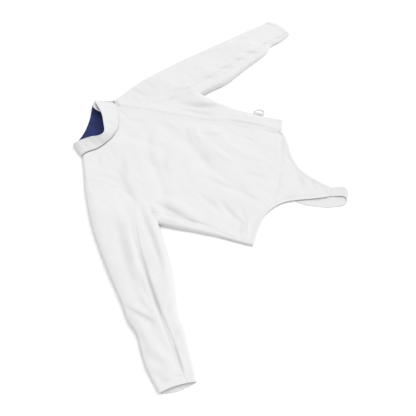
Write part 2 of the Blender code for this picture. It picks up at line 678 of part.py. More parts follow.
tab_angle = np.linspace(-np.pi / 2, np.pi / 2, 9)
tab_radius = RING_WIRE / 2 + TAB_CLEAR + TAB_WALL
tab_profile = np.vstack([
    [(TAB_ENDS, -tab_radius / 2)], [(TAB_STRAIGHT, -tab_radius)],
    np.column_stack([tab_radius * np.cos(tab_angle), tab_radius * np.sin(tab_angle)]),
    [(TAB_STRAIGHT, tab_radius)], [(TAB_ENDS, tab_radius / 2)]])
tab_y = np.linspace(-TAB_WIDTH / 2, TAB_WIDTH / 2, 3)
tab_grid = np.empty((len(tab_y), len(tab_profile), 3))
tab_grid[..., 0] = RING_PLACE[0] + tab_profile[None, :, 0]
tab_grid[..., 1] = RING_PLACE[1] + tab_y[:, None]
tab_grid[..., 2] = RING_PLACE[2] + tab_profile[None, :, 1]
sheet("ring_tab", tab_grid * MM, TAB_WALL, WHITE_ELASTIC)
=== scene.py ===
"""Fencing jacket laid front up: cloth, collar, crotch strap, ring and stitching."""

import bpy
import numpy as np
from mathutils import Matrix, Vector


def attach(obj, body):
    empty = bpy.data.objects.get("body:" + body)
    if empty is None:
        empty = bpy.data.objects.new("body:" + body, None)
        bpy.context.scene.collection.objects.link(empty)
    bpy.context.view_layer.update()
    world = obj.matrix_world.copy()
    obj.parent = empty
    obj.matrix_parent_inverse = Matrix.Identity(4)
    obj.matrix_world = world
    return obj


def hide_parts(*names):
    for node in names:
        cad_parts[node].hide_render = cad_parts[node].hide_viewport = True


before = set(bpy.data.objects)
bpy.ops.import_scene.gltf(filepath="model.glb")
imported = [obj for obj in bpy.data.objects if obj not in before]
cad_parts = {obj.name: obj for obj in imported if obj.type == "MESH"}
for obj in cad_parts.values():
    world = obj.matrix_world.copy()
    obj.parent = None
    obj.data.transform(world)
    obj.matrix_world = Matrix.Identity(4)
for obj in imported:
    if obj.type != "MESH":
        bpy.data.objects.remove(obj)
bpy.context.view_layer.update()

bl_info = {
    "name": "Fencing jacket",
    "version": (1, 0, 0),
    "blender": (4, 5, 0),
    "location": "View3D > Sidebar > Jacket",
    "description": "Builds a fencing jacket laid front up, piece by piece",
    "category": "Object",
}

MM = 0.001
MIDDLE = (-1.0, 48.4)   # the tables' x and y at the middle of the finished box

# ----------------------------------------------------- form, mm and shares
GAP = 0.12                 # between neighbours at a seam
EDGE_SLACK = 0.15          # plan points this near a folded edge lie on the edge
EDGE_REACH = 70.0          # the rise from a folded edge is over by then
LEAST_REACH = 4.0
BODY_FOLD = 4.5            # height of a body fold above the table
SLEEVE_FOLD = 7.0
BODY_ROUND = 0.5           # reach of a rounded fold over its height
SLEEVE_ROUND = 0.62
UNDER_ROUND = 1.4
BODY_CROWN = 0.55          # share of the height that goes on rising further in
SLEEVE_CROWN = 0.48
BODY_CROWN_REACH = 1.5     # reach of that slow rise over the fold's own
SLEEVE_CROWN_REACH = 2.7
BODY_CROWN_POWER = 1.0     # 0.5 is a quarter round, 1 a parabola
SLEEVE_CROWN_POWER = 0.6
# the body keeps its own height up to here: out from the middle line, and up
ARMPIT = (272.0, 30.0)
ARMPIT_BLEND = (28.0, 110.0)   # and the sleeve's takes over across these
UNDERARM_THIN = 0.42       # share of the wall eased away at the underarm point
UNDERARM_REACH = 30.0
UNDER_SEAM = 0.55          # under face seam: share across from the outer edge

FLY_WIDTH = 12.0           # front left margin under the fly
FLY_DROP = 2.1
FLY_EASE = 10.0
SHOULDER_SEAM = 12.0       # front turned under the shoulder fold
SIDE_TURN = 20.0           # front left turned under the side fold
BACK_TURN = 14.0
FACING_DEPTH = 46.0
FACING_SPAN = (0.14, 0.86)   # share of the back neckline

COLLAR_WALL = 1.5
LINING = 1.0
LAYER_GAP = 0.45
COLLAR_GAP = 0.5
COLLAR_BOW = 1.6
COLLAR_DENTS = [(0.5, 17.0, 0.6), (0.35, 7.3, 0.0), (0.25, 4.1, 2.0)]
COLLAR_HEIGHT = 50.0
COLLAR_SEAM = (0.93, 0.022, 0.35)   # share of the height, half width, depth
LAP = 92.0                 # collar lap inside its own left end, round the neck
LAP_CLEAR = 22.0
LAP_IN = 5.5
LAP_SHOW = np.array([-9.0, 8.0, -2.0])   # the inner lap's rim beyond the outer one

RIGHT_CUFF_BOW = {1: -5.0, -1: 7.0}   # cuff's middle beyond its ends: top, under
LEFT_CUFF_BOW = {1: 12.0, -1: 8.0}
BOW_FROM = 0.85            # share of the sleeve where its seams start to follow
SLEEVE_GRAIN = 0.68        # lean of the weave, radians

ELASTIC = 1.6
RING_WIDTH = 36.0
RING_REACH = 21.0
RING_CORNER = 3.0
RING_PLACE = (241.5, -73.0, 4.6)
RING_DROOP = 0.13          # radians
TAB_WIDTH = 27.0
TAB_WALL = 1.0
TAB_CLEAR = 0.45           # between the wire and the tab
TAB_ENDS = [-7.6, -3.5]    # closed end and start of the loop, from the ring's bar

# --------------------------------------------------- relief, mm and shares
CREASE_SHIFT = 0.35        # a trough's bottom beside its row, over both widths
CREASE_REACH = 3           # widths
CREASE_FADE = 0.8          # power of the sine that fades both ends
FULL_TROUGH = 4.0          # a crease this deep counts as a whole trough
WAVE_SHORT = 22.0          # shortest wave of the uneven cloth
WAVE_RANGE = 9.0           # longest over shortest
WAVE_HEIGHT = 0.0020       # height over length
PUCKER_STEP = 15.0
PUCKER_PACE = (1.9, 103.0)   # drift of its pace: size, wave length
PUCKER_DRIFT = (0.55, 0.45, 67.0, 1.3)   # of its height: middle, size, wave, phase
PUCKER_REACH = 8.0
GROOVE = 2.1               # half width of a seam's groove
SWELL_AT = 5.5             # soft ridge beside the groove
SWELL_HALF = 3.5
SWELL_SHARE = 0.45         # its height over the groove's depth
ARMHOLE_SEAM = (0.22, 0.34)   # depth and pucker height of each kind of seam
RIGHT_SLEEVE_SEAM = (0.7, 0.38)
LEFT_SLEEVE_SEAM = (0.6, 0.5)
SIDE_SEAM = (0.28, 0.40)
UNDER_FACE_SEAM = (0.6, 0.2)
TURNING_RISE = 0.55        # of an edge turned in
TURNING_RAMP = 1.6
TURNING_BEYOND = 12.0
TURNING_GROOVE = 0.6
TURNING_GROOVE_HALF = 1.5
TURNING_PUCKER = 0.16
TURNING_SHOW = 1.15
NECK_DIP = 2.2             # of the cloth where the collar meets it
NECK_DIP_LEAST = 0.2
NECK_DIP_HALF = 5.0
# painted shadow where the collar meets the front: strength and half width of its trough mask
NECK_DARK = 7.5            # trough mask there
NECK_DARK_HALF = 2.4
DARKEST = 8.0
FLY_STITCH = 2.2           # stitches beside the fly's edge and the seams
SEAM_STITCH = 2.6
SLEEVE_STITCH = 2.4
TAIL_STITCHES = [[(-30, -341), (-6, -340)], [(-34, -349), (-4, -348)]]
# one stitch, over its length or radius: places along it, girth, sinking
STITCH_ALONG = np.array([-0.5, -0.36, 0.0, 0.36, 0.5])
STITCH_GIRTH = np.array([0.35, 0.85, 1.0, 0.85, 0.35])
STITCH_SUNK = np.array([-0.45, 0.05, 0.35, 0.05, -0.45])
STITCH_SIDES = 6

# ------------------------------------------------------------------- stage, m
FLOOR_HALF = 9.0
FLOOR_LEVEL = -0.0004
SKY = 0.79
SUN_SPREAD = 60.0          # degrees
SUN_PLACE = (1.1, -0.75, 1.9)
EYE = (-0.8453, -0.2307, 1.2081)
EYE_AIM = (-0.172, -0.0484, 0.0)
LENS = 38.94               # mm, on a sensor of
SENSOR = 36.0

# ------------------------------------------------- outlines, mm: x, y a row
RIGHT_SIDE = [(-266, -162), (-265, -111), (-264, -54), (-267, 20), (-271, 76),
              (-272, 127)]
RIGHT_INNER = [(-272, 127), (-350, 73), (-424, 32), (-516, -10), (-548, -34),
               (-609, -70), (-672, -106)]
RIGHT_UPPER = [(-100, 450), (-180, 409), (-218, 390), (-335, 317), (-444, 229),
               (-529, 152), (-572, 117), (-602, 80), (-642, 53), (-680, 24),
               (-724, -22)]
RIGHT_ARMHOLE = [(-272, 127), (-245, 166), (-210, 219), (-188, 278),
                 (-184, 340), (-180, 409)]
RIGHT_SEAM = [(-258, -162), (-255, -100), (-250, -55), (-240, -20), (-236, 47),
              (-240, 110), (-245, 166)]
LEFT_SIDE = [(235, -158), (231, -105), (231, -50), (236, 10), (245, 60),
             (266, 143)]
LEFT_INNER = [(266, 143), (303, 113), (350, 70), (416, 34), (460, 10),
              (539, -35), (588, -48), (629, -80), (672, -104)]
LEFT_UPPER = [(158, 440), (186, 422), (224, 402), (283, 363), (392, 280),
              (565, 129), (642, 62), (678, 28), (722, -8)]
LEFT_ARMHOLE = [(266, 143), (253, 178), (222, 222), (190, 272), (184, 340),
                (186, 422)]
CLOSURE = [(176, -166), (181, -103), (175, -55), (168, 15), (155, 88),
           (147, 168), (141, 250), (137, 330), (133, 414)]
NECK_FRONT = [(-100, 450), (-83, 438), (-61, 411), (-37, 394), (-13, 382),
              (12, 376), (39, 374), (81, 386), (133, 414), (158, 440)]
NECK_BACK = [(-100, 450), (-70, 449), (-40, 445), (9, 440), (60, 441),
             (120, 444), (158, 440)]
HEM_TO_TAIL = [(-258, -162), (-204, -166), (-160, -174), (-132, -188),
               (-110, -206), (-92, -228), (-78, -256), (-64, -292),
               (-50, -328), (-37, -356)]
TAIL_END = [(-37, -356), (-1, -354)]
TAIL_TO_HEM = [(-1, -354), (8, -322), (20, -288), (36, -260), (58, -236),
               (95, -211), (156, -183), (176, -166)]
HEM_BACK = [(-254, -161), (-204, -162), (-150, -170), (-96, -188), (-21, -191),
            (85, -187), (145, -171), (215, -157)]

# collar rim, mm: x, y, z from the right corner round the front to the left
RIM_FRONT = [(-60, 501, 9), (-60, 496, 16), (-57, 484, 26), (-44, 462, 33),
             (-33, 437, 40), (-23, 412, 43), (-5, 401, 47), (25, 414, 53),
             (65, 438, 50), (109, 477, 36), (140, 500, 19), (146, 506, 9)]
RIM_BACK = [(-60, 501, 9), (-58, 499, 4), (-51, 496, 1.2), (-40, 493, 0.3),
            (6, 487, 0.2), (63, 492, 0.2), (114, 505, 0.3), (132, 508, 1.2),
            (142, 508, 4), (146, 506, 9)]

# crotch strap, mm: far edge x, y, z then near edge x, y, z a row
STRAP = [
    (-3, -345, 2.2, -35, -345, 2.4),
    (1, -362, 2.4, -33, -363, 3.0),
    (6, -377, 4.0, -28, -378, 4.4),
    (8, -391, 7.2, -25, -392, 5.0),
    (6, -402, 8.8, -25, -403, 5.6),
    (-3, -409, 7.6, -33, -411, 4.9),
    (-12, -410, 5.4, -46, -411, 3.7),
    (-18, -403, 3.4, -56, -401, 2.8),
    (-29, -386, 1.7, -65, -383, 2.0),
    (-39, -358, 1.7, -75, -355, 1.7),
    (-43, -325, 1.7, -80, -322, 1.7),
    (-46, -288, 1.7, -83, -287, 1.7),
    (-41, -255, 1.7, -77, -252, 1.7),
    (-30, -222, 1.7, -63, -219, 1.7),
    (-14, -192, 1.7, -48, -192, 1.7),
]

# height of the top face, mm: y then height over the body
BODY_LOFT = [(-356, 7.4), (-300, 7.0), (-240, 7.2), (-190, 9.0), (-150, 10.0),
             (-60, 12.0), (60, 15.5), (200, 19.5), (330, 21.0), (450, 20.0)]
# distance from the middle line then height over the sleeves
SLEEVE_LOFT = [(150, 21), (280, 27), (420, 25), (560, 23), (660, 19), (722, 15)]
# shadow where the collar meets the front, as a dip in the cloth and as painted shade: share
# round the neckline, strength
NECK_SHADE = [(0.0, 0.9), (0.06, 1.3), (0.25, 1.1), (0.38, 0.75), (0.5, 0.25), (0.6, 0.0),
              (1.0, 0.05)]
# how clearly the fly's stitched band shows: share up the closure, strength
FLY_SHOW = [(0.0, 1.0), (0.4, 0.75), (0.62, 0.2), (1.0, 0.05)]
# how clearly a sleeve seam shows: share down the sleeve, strength
SLEEVE_SEAM_SHOW = [(0.0, 0.25), (0.12, 0.4), (0.25, 1.0), (1.0, 1.0)]
SLEEVE_FROM = 150.0
SLEEVE_FULL = 270.0
# sleeve seam: share of the way down the sleeve, share across from outer edge
RIGHT_SEAM_SHARE = [(0.0, 0.60), (0.3, 0.585), (0.5, 0.635), (0.7, 0.695), (1.0, 0.745)]
LEFT_SEAM_SHARE = [(0.0, 0.62), (0.2, 0.70), (0.5, 0.77), (0.8, 0.84), (1.0, 0.88)]

# ------------------------------------------------------------ folds, creases
# x and y of start, middle and end; width on the left and on the right of the
# way from start to end; height, all in mm
TOP_FOLDS = [
    (-262, 232, -338, 190, -420, 118, 17, 17, -3.4),
    (-300, 212, -380, 150, -455, 92, 20, 20, 2.6),
    (-400, 140, -470, 120, -520, 60, 14, 14, -3.6),
    (-560, 60, -600, 20, -640, -30, 16, 16, -2.2),
    (300, 250, 400, 190, 520, 80, 18, 18, -3.0),
    (330, 170, 420, 90, 560, 20, 15, 15, 3.0),
    (20, 330, 8, 250, -12, 190, 18, 18, -2.2),
    (92, 230, 40, 130, -10, 40, 20, 20, -2.6),
    (-20, 60, -70, -20, -90, -90, 18, 18, -2.4),
    (-60, 230, -110, 170, -225, 120, 16, 16, -2.8),
    (120, 60, 60, -20, 40, -110, 20, 20, 1.8),
]
# a crease's row follows its steeper bank, and the bottom lies to this side
HOLLOW_SIDE = np.array([-0.866, 0.5])
TOP_CREASES = [
    # right sleeve: the seam sunk between the two sleeve pieces
    (-338, 177, -493, 70, -630, -43, 9, 4, -3.0),
    (-400, 131, -494, 68, -562, 13, 4, 3, -1.8),
    # right sleeve: long soft troughs and ridges beside it
    (-262, 252, -398, 186, -516, 80, 22, 14, -2.4),
    (-262, 234, -400, 172, -512, 68, 9, 18, 2.0),
    (-229, 197, -300, 138, -418, 54, 12, 9, -3.3),
    (-222, 172, -242, 150, -262, 136, 7, 6, -1.7),
    (-318, 112, -400, 66, -470, 22, 8, 10, 1.2),
    # right sleeve: elbow and forearm
    (-534, 138, -545, 97, -557, 39, 6, 12, -3.6),
    (-549, 127, -559, 97, -573, 53, 12, 10, 1.8),
    (-500, 108, -520, 82, -538, 50, 8, 10, -1.7),
    (-590, 78, -606, 52, -640, 26, 9, 9, -1.2),
    (-627, 60, -636, 14, -656, -30, 13, 15, -2.2),
    (-598, -26, -634, -50, -664, -74, 6, 10, -2.6),
    (-560, -28, -580, -18, -604, -22, 7, 7, -1.0),
    (-488, 10, -510, 22, -532, 18, 8, 8, -1.1),
    (-668, 16, -684, -14, -694, -38, 9, 9, -1.0),
    # right shoulder and chest towards the underarm
    (-106, 318, -150, 286, -232, 196, 11, 14, -2.3),
    (-53, 321, -102, 300, -153, 267, 10, 12, -1.3),
    (-150, 352, -160, 318, -158, 286, 9, 9, -0.9),
    (-196, 165, -214, 105, -238, 13, 9, 13, -4.6),
    (-221, 168, -231, 101, -245, 27, 6, 7, 2.0),
    (-180, 150, -193, 97, -207, 41, 10, 12, 1.4),
    (-260, 118, -257, 71, -253, 31, 4, 5, -0.8),
    (-232, 61, -234, 21, -235, -29, 6, 8, -1.6),
    # chest
    (74, 258, -20, 246, -78, 205, 12, 12, -1.1),
    (-5, 190, -56, 178, -116, 134, 11, 11, -1.2),
    (108, 146, 74, 134, 42, 110, 8, 12, -1.0),
    (40, 98, 16, 78, -22, 14, 13, 19, -1.2),
    (126, 128, 84, 112, 46, 74, 12, 9, 1.1),
    (62, 76, 30, 30, 12, -34, 12, 10, 1.1),
    (92, 116, 96, 74, 114, 24, 8, 9, -1.1),
    (120, -34, 121, -58, 118, -82, 7, 8, -1.1),
    (-62, 40, -86, -20, -89, -106, 8, 11, -1.5),
    (-92, -84, -96, -112, -110, -152, 6, 9, -1.1),
    (-134, -32, -172, -66, -206, -134, 6, 8, -2.1),
    (-128, 44, -150, 0, -184, -56, 8, 9, -1.1),
    (-148, -92, -168, -116, -196, -140, 7, 7, -1.0),
    (-196, -118, -226, -112, -254, -122, 5, 6, -1.8),
    (-176, -132, -214, -132, -252, -142, 4, 5, 1.4),
    (-22, -80, -12, -122, -16, -164, 8, 9, -1.1),
    (36, -60, 44, -104, 38, -150, 9, 9, -0.8),
    # below the collar
    (158, 432, 146, 418, 132, 398, 5, 7, -2.4),
    (124, 403, 112, 382, 95, 356, 6, 7, -1.1),
    (-38, 374, -56, 344, -92, 320, 9, 10, -0.8),
    (22, 354, 26, 322, 12, 286, 11, 12, -0.8),
    (84, 362, 92, 330, 88, 292, 9, 10, -0.7),
    (-72, 400, -100, 380, -128, 372, 8, 9, -0.9),
    # left side and the fly
    (206, 204, 202, 150, 229, 74, 12, 9, -3.2),
    (184, 196, 176, 142, 188, 78, 8, 8, -1.6),
    (226, 150, 226, 110, 236, 70, 7, 8, 1.2),
    (176, 44, 184, -60, 191, -108, 5, 4, -1.5),
    (204, 30, 210, -40, 214, -110, 9, 9, 0.9),
    (164, -106, 170, -140, 176, -172, 4, 5, -1.3),
    # left shoulder and sleeve
    (226, 394, 216, 358, 204, 316, 9, 9, -1.3),
    (268, 366, 262, 330, 244, 296, 10, 9, -1.0),
    (236, 252, 262, 226, 276, 196, 8, 9, -1.4),
    (288, 236, 350, 186, 400, 138, 9, 11, 1.0),
    (330, 172, 350, 140, 356, 102, 7, 10, -1.5),
    (392, 124, 412, 96, 420, 58, 7, 10, -2.0),
    (452, 82, 470, 56, 478, 18, 7, 9, -1.6),
    (504, 46, 522, 20, 530, -18, 8, 10, -2.2),
    (574, -6, 592, -26, 604, -56, 7, 8, -1.8),
    (626, -46, 640, -62, 650, -86, 6, 7, -1.2),
    (420, 236, 470, 190, 506, 134, 10, 12, -0.9),
    (560, 104, 590, 70, 606, 36, 9, 10, -0.9),
    # hem, tail and the mark of the back hem beneath
    (170, -166, 110, -186, 20, -196, 5, 9, -1.3),
    (20, -196, -60, -200, -112, -192, 5, 8, -1.1),
    (168, -152, 100, -172, 10, -181, 6, 5, 0.8),
    (26, -250, -2, -272, -42, -270, 6, 8, -1.3),
    (6, -296, -10, -312, -30, -314, 5, 6, -0.9),
    (-96, -204, -70, -226, -60, -262, 6, 7, -0.9),
]
UNDER_CREASES = [
    (-206, 300, -120, 262, -40, 250, 11, 14, 1.6),
    (150, 262, 84, 236, -10, 240, 12, 12, 1.3),
    (-120, 132, -60, 60, -72, -40, 13, 10, 1.8),
    (96, 108, 60, 20, 84, -70, 10, 14, 1.5),
    (-206, 40, -190, -30, -200, -100, 9, 11, 1.2),
    (190, 30, 176, -40, 186, -104, 10, 9, 1.1),
    (-10, -60, 6, -110, -4, -160, 8, 9, 1.0),
    (-352, 216, -430, 160, -500, 96, 13, 13, 1.9),
    (-540, 118, -560, 74, -566, 22, 8, 11, 1.8),
    (-628, 30, -646, 0, -656, -36, 9, 10, 1.1),
    (346, 226, 430, 156, 500, 90, 12, 14, 1.8),
    (500, 92, 528, 50, 536, 6, 9, 11, 1.6),
    (600, 30, 618, 0, 632, -36, 9, 9, 1.2),
    (-246, 250, -290, 200, -326, 172, 10, 9, 1.3),
    (250, 250, 290, 206, 322, 170, 10, 10, 1.2),
]

# mesh cells along each kind of line
SIDE_ROWS = 76
TURN_CELLS = 14
ARM_LOW = 22
ARM_HIGH = 56
ARM_BACK = 34
SHOULDER_TURN = 8
SHOULDER_CELLS = 24
NECK_CELLS = 40      # each half of the neckline up to the closure
NECK_LEFT = 14
FLY_CELLS = 14
SLEEVE_ROWS = 150
BACK_NECK = 60
COLLAR_ROWS = 18
COLLAR_BACK = 36     # each half of the back of the collar
COLLAR_LAP = 18
COLLAR_END = 16


# ------------------------------------------------------------------- lines
def steps(line):
    """Length of each step of a line."""
    return np.linalg.norm(np.diff(line, axis=0), axis=1)


def reached(step):
    """Length reached at each point."""
    return np.concatenate([[0.0], np.cumsum(step)])


def running(step):
    """Share of the whole length reached at each point."""
    return reached(step) / step.sum()


def unit(vectors):
    """Vectors at length one; a zero vector stays zero."""
    return vectors / np.maximum(np.linalg.norm(vectors, axis=-1, keepdims=True), 1e-9)


def respace(line, fractions):
    """Points of a line at the given fractions of its length."""
    line = np.asarray(line, float)
    length = running(steps(line))
    return np.column_stack([np.interp(fractions, length, line[:, k])
                            for k in range(line.shape[1])])


def spline(points, count=161):
    """Evenly spaced cubic line through the points: each span is a cubic in t
    whose end slopes are half the step between the points on either side."""
    p = np.asarray(points, float)
    p = np.vstack([2 * p[0] - p[1], p, 2 * p[-1] - p[-2]])
    t = np.linspace(0.0, 1.0, 24, endpoint=False)[None, :, None]
    a, b, c, d = (p[k:len(p) - 3 + k, None] for k in range(4))
    spans = 0.5 * (2 * b + (c - a) * t + (2 * a - 5 * b + 4 * c - d) * t ** 2
                   + (3 * b - a - 3 * c + d) * t ** 3)
    line = np.vstack([spans.reshape(-1, p.shape[1]), p[-2:-1]])
    return respace(line, np.linspace(0.0, 1.0, count))


def length_of(line):
    """Sum of the lengths of a line's steps."""
    return steps(line).sum()


def lookup(table, at):
    """Value of a table of pairs, straight between its rows."""
    return np.interp(at, *np.transpose(table))


def split(line, cells):
    """Evenly spaced points of a line."""
    return respace(line, even(cells))


def nearest_fraction(line, point):
    """Fraction of an evenly spaced line closest to a point."""
    gaps = np.linalg.norm(line - np.asarray(point, float), axis=1)
    return gaps.argmin() / (len(line) - 1)


def even(cells):
    """Evenly spaced fractions, one more than the cells."""
    return np.linspace(0.0, 1.0, cells + 1)


def eased(cells, power=1.8):
    """Fractions that crowd towards zero."""
    return even(cells) ** power


def between(first, last, fractions):
    """Straight row of points from first to last."""
    f = np.asarray(fractions)[:, None]
    return (1 - f) * np.asarray(first) + f * np.asarray(last)


def nearest(plan, line, reach):
    """For plan points: distance to a polyline, run along it, side (+1 left of
    its way, -1 right) and nearest point. Far points keep the reach."""
    flat = plan.reshape(-1, 2)
    gap = np.full(len(flat), float(reach))
    run = np.zeros(len(flat))
    side = np.ones(len(flat))
    foot = flat.copy()
    close = np.nonzero(((flat > line.min(0) - reach)
                        & (flat < line.max(0) + reach)).all(1))[0]
    a, ab = line[:-1], np.diff(line, axis=0)
    size = (ab * ab).sum(1)
    start = reached(np.sqrt(size))[:-1]
    for block in np.array_split(close, len(close) // 4000 + 1):
        ap = flat[block][:, None] - a
        t = np.clip((ap * ab).sum(2) / size, 0.0, 1.0)
        off = ap - t[..., None] * ab
        square = (off * off).sum(2)
        best = square.argmin(1)
        row = np.arange(len(block))
        t, off, way = t[row, best], off[row, best], ab[best]
        gap[block] = np.minimum(np.sqrt(square[row, best]), reach)
        run[block] = start[best] + t * np.sqrt(size[best])
        side[block] = np.where(way[:, 0] * off[:, 1] - way[:, 1] * off[:, 0] < 0, -1, 1)
        foot[block] = flat[block] - off
    shape = plan.shape[:-1]
    return (gap.reshape(shape), run.reshape(shape), side.reshape(shape),
            foot.reshape(plan.shape))


def bend(row):
    """Quadratic curve through a table row's start and end, pulled to its middle."""
    s = even(14)[:, None]
    start, middle, end = (np.array(row[k:k + 2], float) for k in (0, 2, 4))
    return (1 - s) ** 2 * start + 2 * s * (1 - s) * middle + s ** 2 * end


# ------------------------------------------------- the folded edges in plan
right_upper = spline(RIGHT_UPPER, 321)
left_upper = spline(LEFT_UPPER, 321)
right_top = nearest_fraction(right_upper, RIGHT_ARMHOLE[-1])
left_top = nearest_fraction(left_upper, LEFT_ARMHOLE[-1])
right_shoulder = respace(right_upper, np.linspace(right_top, 0.0, 61))
left_shoulder = respace(left_upper, np.linspace(left_top, 0.0, 61))
right_outer = respace(right_upper, np.linspace(right_top, 1.0, 241))
left_outer = respace(left_upper, np.linspace(left_top, 1.0, 241))
right_side = spline(RIGHT_SIDE)
left_side = spline(LEFT_SIDE)
right_inner = spline(RIGHT_INNER)
left_inner = spline(LEFT_INNER)
right_armhole = spline(RIGHT_ARMHOLE[:-1] + [tuple(right_shoulder[0])])
left_armhole = spline(LEFT_ARMHOLE[:-1] + [tuple(left_shoulder[0])])
neck_front = spline(NECK_FRONT)
neck_back = spline(NECK_BACK)
EDGES = [np.vstack([right_side, right_inner[1:]]), right_upper,
         np.vstack([left_side, left_inner[1:]]), left_upper]


def armhole_marks(line, seam_share, under_seam, turn, under_turn):
    """Fractions up an armhole on the top face and on the under face."""
    total = length_of(line)
    low, low_under = turn / total, under_turn / total
    high = 1.0 - SHOULDER_SEAM / total
    top = [low * eased(TURN_CELLS),
           low + (seam_share - low) * even(ARM_LOW)[1:],
           1 - (1 - seam_share) * eased(ARM_HIGH, 1.5)[::-1][1:]]
    under = [low_under * eased(TURN_CELLS),
             low_under + (under_seam - low_under) * even(ARM_LOW)[1:],
             under_seam + (high - under_seam) * even(ARM_BACK)[1:],
             1 - (1 - high) * eased(SHOULDER_TURN, 1.6)[::-1][1:]]
    return np.concatenate(top), np.concatenate(under)


right_turn = nearest_fraction(right_armhole, RIGHT_SEAM[-1]) * length_of(right_armhole)
right_marks, right_under = armhole_marks(right_armhole, 0.40, 0.45, right_turn, BACK_TURN)
left_marks, left_under = armhole_marks(left_armhole, 0.38, 0.45, SIDE_TURN, SIDE_TURN)
right_arm_top = respace(right_armhole, right_marks)
right_arm_under = respace(right_armhole, right_under)
left_arm_top = respace(left_armhole, left_marks)
left_arm_under = respace(left_armhole, left_under)
right_fold = split(right_side, SIDE_ROWS)
left_fold = split(left_side, SIDE_ROWS)
right_seam = split(spline(RIGHT_SEAM[:-1] + [tuple(right_arm_top[TURN_CELLS])]), SIDE_ROWS)

closure_top = nearest_fraction(neck_front, CLOSURE[-1])
neck_step = FLY_WIDTH / length_of(neck_front)
neck_ease = closure_top + FLY_EASE / length_of(neck_front)
neck_main = np.concatenate([0.5 * closure_top * eased(NECK_CELLS, 1.4),
                            closure_top * (0.5 + 0.5 * even(NECK_CELLS)[1:])])
neck_right = respace(neck_front, neck_main)
neck_left = respace(neck_front, neck_ease + (1 - neck_ease)
                    * (1 - eased(NECK_LEFT, 1.8)[::-1]))
back_margin = SHOULDER_SEAM / length_of(neck_back)
closure_line = spline(CLOSURE[:-1] + [tuple(neck_right[-1])])
collar_marks = np.concatenate([
    neck_main[:-1], np.linspace(closure_top, 1 - LAP_CLEAR / length_of(neck_front), 12)])


class Sleeve:
    """The four long lines of one sleeve, a point a row."""

    def __init__(self, outer, inner, marks_top, marks_under, seam_share, bow):
        share = even(SLEEVE_ROWS)
        first = TURN_CELLS + ARM_LOW
        self.outer, self.inner = split(outer, SLEEVE_ROWS), split(inner, SLEEVE_ROWS)
        across = self.inner - self.outer
        top = lookup(seam_share, share)[:, None]
        ease = (1 - share[:, None]) ** 4
        self.seam_top = self.outer + across * top
        self.seam_under = self.outer + across * UNDER_SEAM
        self.seam_top += (marks_top[first] - self.seam_top[0]) * ease
        self.seam_under += (marks_under[first] - self.seam_under[0]) * ease
        self.top, self.under = marks_top, marks_under
        self.bow = bow
        self.ahead = unit(self.outer[-1] + self.inner[-1] - self.outer[-9] - self.inner[-9])
        self.ends = {1: self.seam_top[-1].copy(), -1: self.seam_under[-1].copy()}
        late = np.clip((share[:, None] - BOW_FROM) / (1 - BOW_FROM), 0, 1) ** 2
        self.seam_top += late * (self.bowed(self.ends[1], 1) - self.ends[1])
        self.seam_under += late * (self.bowed(self.ends[-1], -1) - self.ends[-1])

    def bowed(self, points, face):
        """Points at the cuff moved on along the sleeve by half a sine wave of
        the share across."""
        across = self.inner[-1] - self.outer[-1]
        share = np.clip((points - self.outer[-1]) @ across / (across @ across), 0, 1)
        return points + self.bow[face] * np.sin(np.pi * share)[..., None] * self.ahead

    def cuff(self, face):
        """The cuff's edge on one face."""
        return self.bowed(between(self.outer[-1], self.inner[-1], even(24)), face)


SLEEVES = {
    "right": Sleeve(right_outer, right_inner, right_arm_top, right_arm_under,
                    RIGHT_SEAM_SHARE, RIGHT_CUFF_BOW),
    "left": Sleeve(left_outer, left_inner, left_arm_top, left_arm_under,
                   LEFT_SEAM_SHARE, LEFT_CUFF_BOW),
}
hem_tail = spline(HEM_TO_TAIL)
tail_hem = spline(TAIL_TO_HEM)
front_hem = np.vstack([hem_tail, tail_hem])
left_hem = np.array([CLOSURE[0], left_fold[0]], float)
left_seam_under = split(np.vstack([(left_side - [SIDE_TURN, 0.0])[:-12],
                                   left_arm_under[TURN_CELLS]]), SIDE_ROWS)
right_flat = split(np.vstack([(right_side + [BACK_TURN, 0.0])[:-12],
                              right_arm_under[TURN_CELLS]]), SIDE_ROWS)
hem_back = spline([tuple(right_flat[0])] + HEM_BACK[1:-1] + [tuple(left_seam_under[0])])


def sizes():
    return bpy.context.scene.jacket_sizes


# ------------------------------------------------------------- the surface
def unevenness(plan, seed, waves=28):
    """Sum of plane sine waves of lengths spread evenly in their logarithm, each
    as high as a fixed share of its length, with seeded ways and phases."""
    chance = np.random.default_rng(seed)
    length = WAVE_SHORT * WAVE_RANGE ** chance.uniform(0, 1, waves)
    way = chance.uniform(0, np.pi, waves)
    phase = chance.uniform(0, 2 * np.pi, waves)
    turns = plan @ np.stack([np.cos(way), np.sin(way)]) / length
    return (WAVE_HEIGHT * length * np.sin(2 * np.pi * turns + phase)).sum(-1)


def pucker(gap, run, height):
    """Ripples across a seam: a sine of the run whose pace and height drift,
    dying away to the sides as the exponential of the distance."""
    turn = 2 * np.pi * run
    pace = turn / PUCKER_STEP + PUCKER_PACE[0] * np.sin(turn / PUCKER_PACE[1])
    middle, size, wave, phase = PUCKER_DRIFT
    drift = middle + size * np.sin(turn / wave + phase)
    return height * drift * np.sin(pace) * np.exp(-gap / PUCKER_REACH)


def seam_lines(face):
    """Seams that show on one face, with depth and pucker height in mm."""
    right, left = SLEEVES["right"], SLEEVES["left"]
    if face > 0:
        return [(right_armhole, *ARMHOLE_SEAM), (left_armhole, *ARMHOLE_SEAM),
                (right.seam_top, *RIGHT_SLEEVE_SEAM), (left.seam_top, *LEFT_SLEEVE_SEAM),
                (right_seam, *SIDE_SEAM)]
    return [(line, *UNDER_FACE_SEAM) for line in
            (right_armhole, left_armhole, right.seam_under, left.seam_under,
             left_seam_under)]


